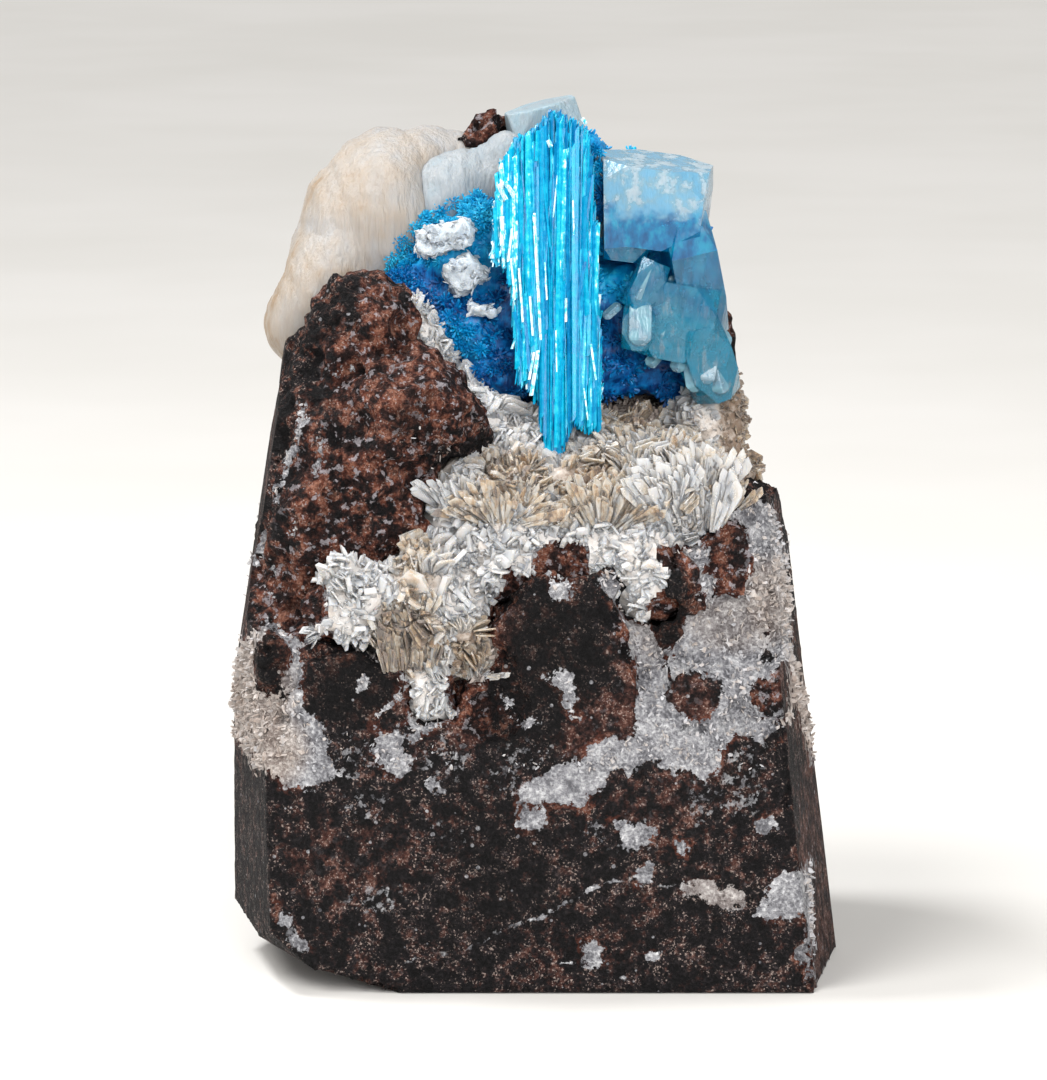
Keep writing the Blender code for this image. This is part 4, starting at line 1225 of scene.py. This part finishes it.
def build_crust():
    """The crust's bed with its needle balls, and the tint of each point."""
    draw = random.Random(31)
    bm = reskin(copy_of("cavansite_crust"), 0.3)
    even_out(bm, 1)
    swell(bm, lambda co: 0.2 * ripple(co, 0.7, 8.0) - 0.05)
    blocks = tree_of(copy_of("clear_apophyllite"))
    solids = [blocks] + [tree_of(copy_of(name)) for name in CRUST_NEIGHBOURS]
    spots = spots_on(bm, BALL_COUNT, 32, solids, 0.6)
    tints = [blue_tint(v.co, draw) for v in bm.verts]
    for place, normal in spots:
        shape = draw.choice(balls)
        radius = draw.uniform(0.38, 0.68)
        axis = leaned(normal, 0.5, draw)
        spot = place - normal * 0.3 * radius * MM
        stamp(bm, shape, standing(spot, axis, draw.uniform(0, 3), (radius * MM,) * 3))
        base = blue_tint(place, draw)
        each = len(needle.vertices)
        for _ in range(len(shape.vertices) // each):
            tints.extend([base + draw.uniform(-0.1, 0.2)] * each)
    fronts = [tree_of_piece(milky_mass), tree_of_piece(cream_mass), blocks, tree_of(bm)]
    for outline, count, depth in BLUE_AREAS:
        low, high = np.min(outline, axis=0), np.max(outline, axis=0)
        tries = np.array([[draw.uniform(*ends) for ends in zip(low, high)] for _ in range(count * 6)])
        for u, v in tries[inside_by(tries, outline) > 0][:count]:
            line = sight(u, v).normalized()
            place = seen_on(fronts if depth is None else (), u, v, depth or 0)
            shape = draw.choice(balls)
            radius = draw.uniform(0.34, 0.52) * MM
            axis = leaned(-line, 0.4, draw)
            stamp(bm, shape, standing(place + line * 0.35 * radius, axis, draw.uniform(0, 3), (radius,) * 3))
            tints.extend([min(1.0, 0.05 + blue_tint(place, draw))] * len(shape.vertices))
    return bm, tints

# %% [markdown]
# Both blues are made by one function, and each point's tint picks its place from deep to light. The needles
# are glassy, so a low roughness gives them small glints, and fine lines along Z break up their sides.

# %% Blue materials


def make_blue(name, stops, roughness, line_size):
    """A blue whose tint runs along the stops, with fine lines along Z."""
    material, tree, shader = new_material(name)
    clouds = cloudy(tree, 0.35)
    lines = cloudy(tree, line_size, 0.06)
    share = times_plus(tree, centred(tree, clouds), 0.25, point_value(tree, "tint"), clamp=True)
    share = times_plus(tree, centred(tree, lines), 0.18, share, clamp=True)
    tree.links.new(ramp(tree, share, stops), shader.inputs["Base Color"])
    tree.links.new(times_plus(tree, clouds, 0.2, roughness), shader.inputs["Roughness"])
    bumped(tree, shader, times(tree, lines, 0.02), 0.5)
    set_inputs(shader, IOR=1.54, Specular_IOR_Level=0.28)
    return material


DEEP_BLUES = [(0.0, "#002e66"), (0.25, "#0062a4"), (0.6, "#0090c8"), (1.0, "#34bce0")]
# The near-white end serves the white needles and the glints painted as white needles.
BRIGHT_BLUES = [(0.0, "#00609a"), (0.35, "#0086b8"), (0.7, "#00a6ca"), (0.9, "#38c8e4"), (1.0, "#e4f8fc")]
deep_blue = make_blue("deep_blue_cavansite", DEEP_BLUES, roughness=0.3, line_size=0.12)
bright_blue = make_blue("bright_cavansite", BRIGHT_BLUES, roughness=0.18, line_size=0.10)
crust_bm, crust_tints = build_crust()
finish_piece("cavansite_needle_crust", crust_bm, [deep_blue], ["cavansite_crust"],
             tints=crust_tints)

# %% [markdown]
# ## The hanging spray
# The spray is a bundle of long, nearly parallel needles, like a frayed brush. Its outline is read from the
# photograph as a top and a foot for each place across it. Each needle takes a place across, a depth inside
# the bundle, and ends near the outline's top and foot, so the ends are ragged.

# %% Spray
# Across the spray, as seen: (across, its top, its foot).
SPRAY_OUTLINE = [
    (494, 238, 270), (500, 168, 268), (507, 150, 268), (513, 140, 300), (520, 134, 388), (530, 130, 393),
    (538, 124, 392), (545, 116, 446), (551, 109, 466), (557, 109, 477), (563, 112, 450), (572, 117, 424),
    (580, 122, 430), (588, 134, 436), (594, 230, 434), (599, 340, 428),
]
# The spray leans forward as it hangs: heights in millimetres and the depths that hold there.
SPRAY_HEIGHTS = (23.4, 40.0)
SPRAY_DEPTHS = (-4.2, -1.0)
SPRAY_NEEDLES = 5200
# White needles, and glints painted on as white needles, as seen: (top, foot, width in mm).
WHITE_NEEDLES_AND_GLINTS = [
    ((534, 213), (541, 340), 0.20), ((519, 268), (523, 322), 0.16), ((511, 258), (515, 300), 0.14),
    ((502, 216), (502, 246), 0.24), ((498, 184), (506, 200), 0.30), ((505, 182), (514, 196), 0.30),
    ((530, 296), (533, 336), 0.16), ((538, 350), (531, 396), 0.24), ((534, 352), (529, 380), 0.16),
    ((566, 298), (566, 322), 0.14), ((591, 344), (596, 380), 0.16), ((548, 140), (551, 147), 0.30),
    ((582, 118), (586, 124), 0.24), ((512, 228), (508, 262), 0.14), ((545, 262), (547, 300), 0.12),
    ((573, 200), (574, 235), 0.10), ((556, 330), (557, 372), 0.10), ((584, 388), (588, 420), 0.12),
]


def prism_template():
    """A thin four-sided prism along Z with slanted ends, from -0.5 to 0.5."""
    bm = bmesh.new()
    bmesh.ops.create_cube(bm, size=1.0)
    for end in (-1, 1):
        side = [v for v in bm.verts if v.co.z * end > 0 and v.co.x * end > 0]
        bmesh.ops.translate(bm, vec=(0, 0, -end * 0.02), verts=side)
    bmesh.ops.rotate(bm, matrix=Matrix.Rotation(math.radians(40), 3, "Z"), verts=bm.verts)
    return as_template(bm, "prism")


def depth_at(z):
    """Where the middle of the bundle lies along the depth axis, at a height."""
    share = (z / MM - SPRAY_HEIGHTS[0]) / (SPRAY_HEIGHTS[1] - SPRAY_HEIGHTS[0])
    return (SPRAY_DEPTHS[0] + share * (SPRAY_DEPTHS[1] - SPRAY_DEPTHS[0])) * MM


def in_spray(u, v, inward):
    """The point of the bundle seen at a place, inward millimetres behind its middle."""
    spot = at_depth(u, v, -2.6 * MM)
    for _ in range(3):
        spot = at_depth(u, v, depth_at(spot.z) + inward * MM)
    return spot


def build_spray():
    """The bundle's needles and their tints. Most are short lengths, and one in five runs from top to foot."""
    draw = random.Random(41)
    prism = prism_template()
    bm = bmesh.new()
    tints = []
    us, tops, feet = (np.array(column, float) for column in zip(*SPRAY_OUTLINE))
    for _ in range(SPRAY_NEEDLES):
        u = draw.uniform(us[0], us[-1])
        top = float(np.interp(u, us, tops))
        foot = float(np.interp(u, us, feet))
        middle = abs(u - 550) / 50
        inward = draw.uniform(-0.95 + 0.5 * middle ** 2, 1.7)
        rim = max(0.0, inward) * 9
        high = top + rim + abs(draw.gauss(0, 10))
        low = foot - rim - abs(draw.gauss(0, 14))
        if draw.random() < 0.8:
            span = draw.uniform(0.10, 0.42) * (foot - top)
            high = draw.uniform(top + rim, max(top + rim + 1, foot - span - rim))
            low = high + span
        if low - high < 12:
            continue
        lean = draw.gauss(0, 2.2)
        start = in_spray(u - lean, high, inward)
        end = in_spray(u + lean, low, inward + draw.gauss(0, 0.05))
        width = draw.choice((0.05, 0.07, 0.09, 0.12, 0.18))
        size = (width * MM, width * draw.uniform(0.6, 1.0) * MM, (start - end).length)
        stamp(bm, prism, standing((start + end) / 2, start - end, draw.uniform(-0.5, 0.5), size))
        rise = 0.46 + 0.22 * abs(u - 560) / 40 + draw.uniform(-0.42, 0.26)
        # A few needles at the front are near white: painted glints.
        if draw.random() < 0.018 and inward < 0.2:
            rise = draw.uniform(0.86, 1.0)
        tints.extend([unit(rise)] * len(prism.vertices))
    # White needles at the given places, partly painted glints.
    for top, foot, width in WHITE_NEEDLES_AND_GLINTS:
        start, end = in_spray(*top, -1.0), in_spray(*foot, -1.0)
        size = (0.6 * width * MM, 0.5 * width * MM, (start - end).length)
        stamp(bm, prism, standing((start + end) / 2, start - end, 0.3, size))
        tints.extend([1.0] * len(prism.vertices))
    return bm, tints


spray_bm, spray_tints = build_spray()
finish_piece("cavansite_hanging_spray", spray_bm, [bright_blue], ["cavansite_spray"],
             tints=spray_tints)

# %% [markdown]
# ## Clear crystals
# The blocks at the right are clear, faintly blue, and full of healed cracks. The faces are flat with softly
# worn edges. The material lets most light through, is milky where each point's milk number is high, and
# its volume takes out a little red. The blue that the upper block has grown over shows through its lower
# part, as a soft band by height. The cracks are thin crumpled veils inside the blocks.

# %% Clear and healed materials


def make_clear(name, see_through, hue, hue_kept, density, blue_from=30.0, blue_share=0.0):
    """A clear crystal. Its blue band starts at the height blue_from, in millimetres, with a soft end."""
    material, tree, shader = new_material(name)
    clouds = cloudy(tree, 0.9)
    streaks = cloudy(tree, 0.3, 0.25)
    milk = times(tree, point_value(tree, "milk"), graded(tree, clouds, 0.1, 0.9))
    milk = larger(tree, milk, times(tree, graded(tree, streaks, 0.75, 1.0), 0.5))
    body = ramp(tree, milk, [(0.0, hue), (0.5, "#8bb9cf"), (1.0, "#c6d8e2")])
    place = put(tree, "ShaderNodeTexCoord").outputs["Object"]
    height = put(tree, "ShaderNodeSeparateXYZ", {0: place}).outputs["Z"]
    tufts = cloudy(tree, 1.1)
    level = times_plus(tree, centred(tree, tufts), 1.6 * MM, height)
    inner = graded(tree, level, blue_from * MM, (blue_from + 1.5) * MM)
    inner = times(tree, graded(tree, level, 35.9 * MM, 34.3 * MM), inner)
    fibres = cloudy(tree, 0.5, 0.6)
    blue = ramp(tree, fibres, [(0.0, "#005a94"), (0.5, "#007eb6"), (1.0, "#14a6d0")])
    mixed = blended(tree, times(tree, inner, blue_share), body, blue)
    tree.links.new(mixed, shader.inputs["Base Color"])
    tree.links.new(times_plus(tree, milk, 0.35, 0.04), shader.inputs["Roughness"])
    bumped(tree, shader, times(tree, streaks, 0.05), 0.5)
    set_inputs(shader, Transmission_Weight=see_through, IOR=1.53)
    absorb = put(tree, "ShaderNodeVolumeAbsorption", {"Color": hue_kept, "Density": density})
    tree.links.new(absorb.outputs[0], tree.nodes["Material Output"].inputs["Volume"])
    return material


def make_veil():
    """White healed cracks: mostly see-through, with cloudy patches."""
    material, tree, shader = new_material("healed_crack")
    clouds = cloudy(tree, 0.6)
    fine = cloudy(tree, 0.15)
    cover = graded(tree, times(tree, clouds, maths(tree, "ADD", fine, 0.4)), 0.25, 0.8)
    tree.links.new(times(tree, cover, 0.75), shader.inputs["Alpha"])
    tree.links.new(ramp(tree, fine, [(0.0, "#bfe0ee"), (1.0, "#ffffff")]), shader.inputs["Base Color"])
    set_inputs(shader, Roughness=0.35)
    return material

# %% Veils
# Inside the clear blocks: (place seen, depth in mm, half sizes in mm, turn in degrees).
VEILS = [
    ((640, 178), -1.1, (1.5, 0.9), (60, 20, 10)), ((670, 195), -0.6, (1.3, 0.8), (75, -15, 30)),
    ((650, 205), -0.2, (1.9, 0.9), (80, 10, 0)), ((690, 185), -0.4, (0.8, 0.9), (70, 40, -20)),
    ((612, 190), -0.9, (0.8, 1.1), (85, -30, 15)), ((655, 168), 0.4, (1.9, 0.7), (50, 0, 0)),
    ((700, 300), -0.9, (0.6, 1.2), (80, 10, 30)), ((700, 350), -1.4, (0.6, 0.9), (75, 20, -20)),
    ((665, 320), -1.6, (0.8, 0.8), (80, -20, 10)),
]


def build_veils():
    """Crumpled round sheets with a little thickness."""
    bm = bmesh.new()
    for (u, v), depth, (wide, high), turn in VEILS:
        sheet = bmesh.new()
        bmesh.ops.create_circle(sheet, cap_ends=True, segments=16, radius=1.0)
        bmesh.ops.poke(sheet, faces=sheet.faces)
        bmesh.ops.subdivide_edges(sheet, edges=sheet.edges, cuts=4, use_grid_fill=True)
        bmesh.ops.scale(sheet, vec=(wide * MM, high * MM, 1.0), verts=sheet.verts)
        for vert in sheet.verts:
            vert.co.z = 0.18 * MM * ripple(vert.co, 0.7, u)
        sheet.normal_update()
        bmesh.ops.solidify(sheet, geom=sheet.faces[:], thickness=0.02 * MM)
        turned = Euler([math.radians(a) for a in turn]).to_matrix().to_4x4()
        place = Matrix.Translation(at_depth(u, v, depth * MM)) @ turned
        bmesh.ops.transform(sheet, matrix=place, verts=sheet.verts)
        stamp(bm, as_template(sheet, "veil"), Matrix.Identity(4))
    return bm

# %% The clear blocks
UPPER_BLOCK_FOOT = 33.6  # in millimetres


def sort_clear_faces(bm):
    """Gives the upper block the clouded material, with milky left faces that are partly its cloudy part and
    partly painted light on the side in the spray's shadow. The lower crystals stay clear.
    """
    for face in bm.faces:
        height = face.calc_center_median().z / MM
        is_underside = height > 32.4 and face.normal.z < -0.2
        face.material_index = 1 if height > UPPER_BLOCK_FOOT or is_underside else 0
        # Painted light: the upper block's left faces take the milky material, which stays bright in the
        # spray's shadow.
        if height > 34.0 and face.normal.x < -0.5:
            face.material_index = 2


clear = make_clear("clear_apophyllite", see_through=0.70, hue="#04a4ca", hue_kept=(0.2, 0.82, 0.95, 1.0),
                   density=110.0, blue_from=30.0, blue_share=0.6)
clouded = make_clear("clouded_apophyllite", see_through=0.45, hue="#7dbde0", hue_kept=(0.2, 0.75, 0.95, 1.0),
                     density=110.0, blue_from=28.0, blue_share=1.0)
pale_clear = make_clear("pale_apophyllite", see_through=0.55, hue="#9fd6e6", hue_kept=(0.4, 0.85, 0.95, 1.0),
                        density=80.0)
clear_bm = bevelled("clear_apophyllite", width=0.07)
sort_clear_faces(clear_bm)
milkiness = [min(1.0, max(0.1, (v.co.z / MM - 33.0) / 2.5)) for v in clear_bm.verts]
finish_piece("clear_apophyllite_blocks", clear_bm, [clear, clouded, milky], ["clear_apophyllite"],
             tints=[0.6] * len(clear_bm.verts), values={"milk": milkiness})
finish_piece("healed_cracks", build_veils(), [make_veil()], [])

# %% Small prisms on the blocks
# As seen: (foot, tip, width in mm, depth in mm, turn).
SMALL_PRISMS = [
    ((634, 304), (655, 262), 0.85, -2.3, 0.3), ((640, 346), (641, 300), 1.05, -2.5, 0.1),
    ((688, 342), (703, 288), 0.95, -2.2, 0.5), ((660, 338), (668, 322), 0.45, -2.4, 0.2),
    ((664, 318), (667, 302), 0.35, -2.4, 0.6), ((676, 372), (684, 346), 0.6, -2.2, 0.1),
    ((706, 384), (712, 350), 0.7, -2.3, 0.8), ((648, 366), (660, 352), 0.5, -1.9, 0.4),
    ((604, 318), (620, 304), 0.4, -2.0, 0.2), ((668, 296), (676, 276), 0.5, -1.6, 0.7),
    ((690, 300), (696, 232), 1.0, -1.4, 0.8), ((712, 372), (724, 330), 0.8, -1.8, 0.3),
    ((696, 392), (690, 352), 0.9, -2.0, 0.6), ((722, 394), (716, 366), 0.7, -2.2, 0.2),
    ((672, 350), (656, 334), 0.4, -2.3, 0.5), ((700, 340), (712, 320), 0.5, -2.1, 0.9),
    ((612, 200), (622, 170), 0.6, -1.2, 0.4), ((684, 330), (672, 312), 0.4, -2.2, 0.3),
]


def pointed_prism_template():
    """A four-sided crystal with pyramids at both ends and softened edges, from -0.5 to 0.5 along Z."""
    bm = bmesh.new()
    bmesh.ops.create_cube(bm, size=1.0)
    bmesh.ops.scale(bm, vec=(1, 1, 0.72), verts=bm.verts)
    ends = [f for f in bm.faces if abs(f.normal.z) > 0.9]
    inner = bmesh.ops.inset_region(bm, faces=ends, thickness=0.28, depth=0.14, use_even_offset=True)
    bmesh.ops.bevel(bm, geom=bm.edges[:], offset=0.04, affect="EDGES", segments=1, profile=0.5, material=-1)
    print("pointed prism:", len(inner["faces"]), "end faces,", len(bm.faces), "faces in all")
    return as_template(bm, "pointed_prism")


def build_small_prisms():
    """The small clear prisms, each from its foot to its tip."""
    shape = pointed_prism_template()
    bm = bmesh.new()
    for foot, tip, width, depth, turn in SMALL_PRISMS:
        start, end = at_depth(*foot, depth * MM), at_depth(*tip, (depth + 0.3) * MM)
        size = (width * MM, width * 0.8 * MM, (end - start).length)
        stamp(bm, shape, standing((start + end) / 2, end - start, turn, size))
    return bm


prism_bm = build_small_prisms()
finish_piece("clear_apophyllite_prisms", prism_bm, [pale_clear], [],
             values={"milk": [0.75] * len(prism_bm.verts)})

# %% [markdown]
# ## Small pale crystals on the blue
# Three little clumps of stilbite sit on the crust, as snow on a branch. Each is a soft lumpy bed with some
# dozens of chips that lie flat on it.

# %% Pale clumps
CLUMP_CHIPS = {"pale_stilbite_upper": 110, "pale_stilbite_lower": 80, "pale_stilbite_lens": 30}


def build_clump(node, seed, count):
    """One clump: its bed, and count chips laid flat with their thin side along the normal."""
    draw = random.Random(seed)
    bm = reskin(copy_of(node), 0.10)
    even_out(bm, 30)
    swell(bm, lambda co: 0.16 * ripple(co, 0.9, seed) + 0.12 * ripple(co, 0.35, seed + 3, 2) - 0.02)
    bed_faces = len(bm.faces)
    spots = spots_on(bm, count, seed + 1)
    tints = [0.5] * len(bm.verts)
    for place, normal in spots:
        tall = draw.uniform(0.25, 0.5)
        shape = draw.choice(chips)
        across = normal.orthogonal().normalized()
        side = Matrix.Rotation(draw.uniform(0, math.tau), 3, normal) @ across
        thick = leaned(normal, 0.35, draw)
        pose = Matrix((thick.cross(side) * tall, thick * tall, side * tall)).transposed() * MM
        stamp(bm, shape, Matrix.Translation(place + normal * 0.02 * MM) @ pose.to_4x4())
        tints.extend([draw.uniform(0.3, 0.9)] * len(shape.vertices))
    bm.faces.ensure_lookup_table()
    for face in bm.faces[bed_faces:]:
        face.smooth = False
    return bm, tints


for seed, (node, count) in enumerate(CLUMP_CHIPS.items(), start=60):
    clump_bm, clump_tints = build_clump(node, seed, count)
    finish_piece(node + "_clump", clump_bm, [snowy], [node], tints=clump_tints)

# %% [markdown]
# ## Sugary grains
# The cement sparkles because it is made of tiny crystals. A few thousand small chips, sunk into the rock
# by a part of their height, stand on the pale areas and are strewn more thinly over the dark ones.

# %% Grains on the cement
GRAIN_TRIES = 9000
LOWEST_GRAIN = 0.5  # in millimetres
# The sawn front lies before this depth and below this height, in millimetres.
SAWN_FRONT = -9.0
SAWN_TOP = 10.5


def build_grains():
    """Chips on the rock, many on the cement, some where it is strewn, none on the bare sawn front."""
    draw = random.Random(51)
    surface = bmesh.new()
    surface.from_mesh(rock.data)
    surface.verts.ensure_lookup_table()
    cement, strewn = rock_values["cement"], rock_values["sprinkle"]
    bare = [f for f in surface.faces if all(cement[v.index] < 0.0 and strewn[v.index] < 0.12 for v in f.verts)
            or f.calc_center_median().y < SAWN_FRONT * MM and f.calc_center_median().z < SAWN_TOP * MM]
    bmesh.ops.delete(surface, geom=bare, context="FACES")
    places = spots_on(surface, GRAIN_TRIES, 52)
    surface.free()
    bm = bmesh.new()
    tints = []
    spots = seen_at(np.array([p for p, _ in places]))
    depth = cement_depth(spots)
    loose = in_ovals(spots, SPRINKLES)
    warm = in_ovals(spots, WARM_AREAS)
    for (place, normal), inside, scattered, warmth in zip(places, depth, loose, warm):
        seen = normal.dot(towards_camera) > 0.1
        chance = (0.85 if inside > 0.03 else 0.25 * scattered) if seen else 0.4
        if draw.random() > chance or place.z < LOWEST_GRAIN * MM:
            continue
        tall = draw.uniform(0.16, 0.38) + 0.2 * warmth * draw.random()
        shape = draw.choice(chips)
        axis = leaned(normal, 1.35, draw)
        size = (tall * draw.uniform(0.5, 1.3) * MM, tall * 1.6 * MM, tall * MM)
        stamp(bm, shape, standing(place - axis * 0.2 * tall * MM, axis, draw.uniform(0, 6), size))
        tints.extend([min(1.0, 0.1 + 0.4 * warmth + draw.uniform(-0.1, 0.2))] * len(shape.vertices))
    return bm, tints


grain_bm, grain_tints = build_grains()
finish_piece("zeolite_grains", grain_bm, [sugar], [], tints=grain_tints)

# %% [markdown]
# ## Floor and light
# The piece stands on a plain pale floor. A soft sun from the upper left front models the crystals, as in
# the photograph. A small lamp high on the left puts glints on the edges, a wide one in front opens the
# shadows, and an even pale sky does the rest.

# %% Floor


def make_floor():
    """A wide pale floor at the height of the sawn base."""
    bm = bmesh.new()
    bmesh.ops.create_grid(bm, x_segments=1, y_segments=1, size=2.0)
    mesh = bpy.data.meshes.new("floor")
    bm.to_mesh(mesh)
    bm.free()
    obj = bpy.data.objects.new("floor", mesh)
    bpy.context.scene.collection.objects.link(obj)
    material, tree, shader = new_material("pale_floor")
    clouds = cloudy(tree, 60.0)
    tree.links.new(ramp(tree, clouds, [(0.0, "#e0deda"), (1.0, "#e6e4e1")]), shader.inputs["Base Color"])
    set_inputs(shader, Roughness=0.7)
    mesh.materials.append(material)


make_floor()

# %% Lamps


def lamp(name, place, size, power, colour=(1.0, 1.0, 1.0)):
    """A round lamp that points at the middle of the specimen."""
    data = bpy.data.lights.new(name, "AREA")
    data.shape = "DISK"
    data.size = size
    data.energy = power
    data.color = colour
    obj = bpy.data.objects.new(name, data)
    bpy.context.scene.collection.objects.link(obj)
    obj.location = place
    obj.rotation_euler = (Vector((0, 0, 0.02)) - obj.location).to_track_quat("-Z", "Y").to_euler()


sun_data = bpy.data.lights.new("key", "SUN")
sun_data.energy = 1.7
sun_data.angle = math.radians(24)
sun_data.color = (1.0, 0.985, 0.96)
sun = bpy.data.objects.new("key", sun_data)
bpy.context.scene.collection.objects.link(sun)
sun.rotation_euler = Vector((-0.55, -0.45, 1.0)).to_track_quat("Z", "Y").to_euler()
lamp("glint", place=(-0.10, 0.02, 0.22), size=0.05, power=0.35)
lamp("fill", place=(0.10, -0.34, 0.16), size=0.24, power=1.3, colour=(1.0, 0.99, 0.98))
world = bpy.data.worlds.new("studio")
bpy.context.scene.world = world
world.use_nodes = True
world.node_tree.nodes["Background"].inputs["Color"].default_value = (1.0, 0.995, 0.985, 1.0)
world.node_tree.nodes["Background"].inputs["Strength"].default_value = 0.46
bpy.context.scene.view_settings.view_transform = "Standard"
bpy.context.scene.cycles.max_bounces = 6
bpy.context.scene.cycles.transmission_bounces = 6
bpy.context.scene.cycles.diffuse_bounces = 2
bpy.context.scene.cycles.glossy_bounces = 2
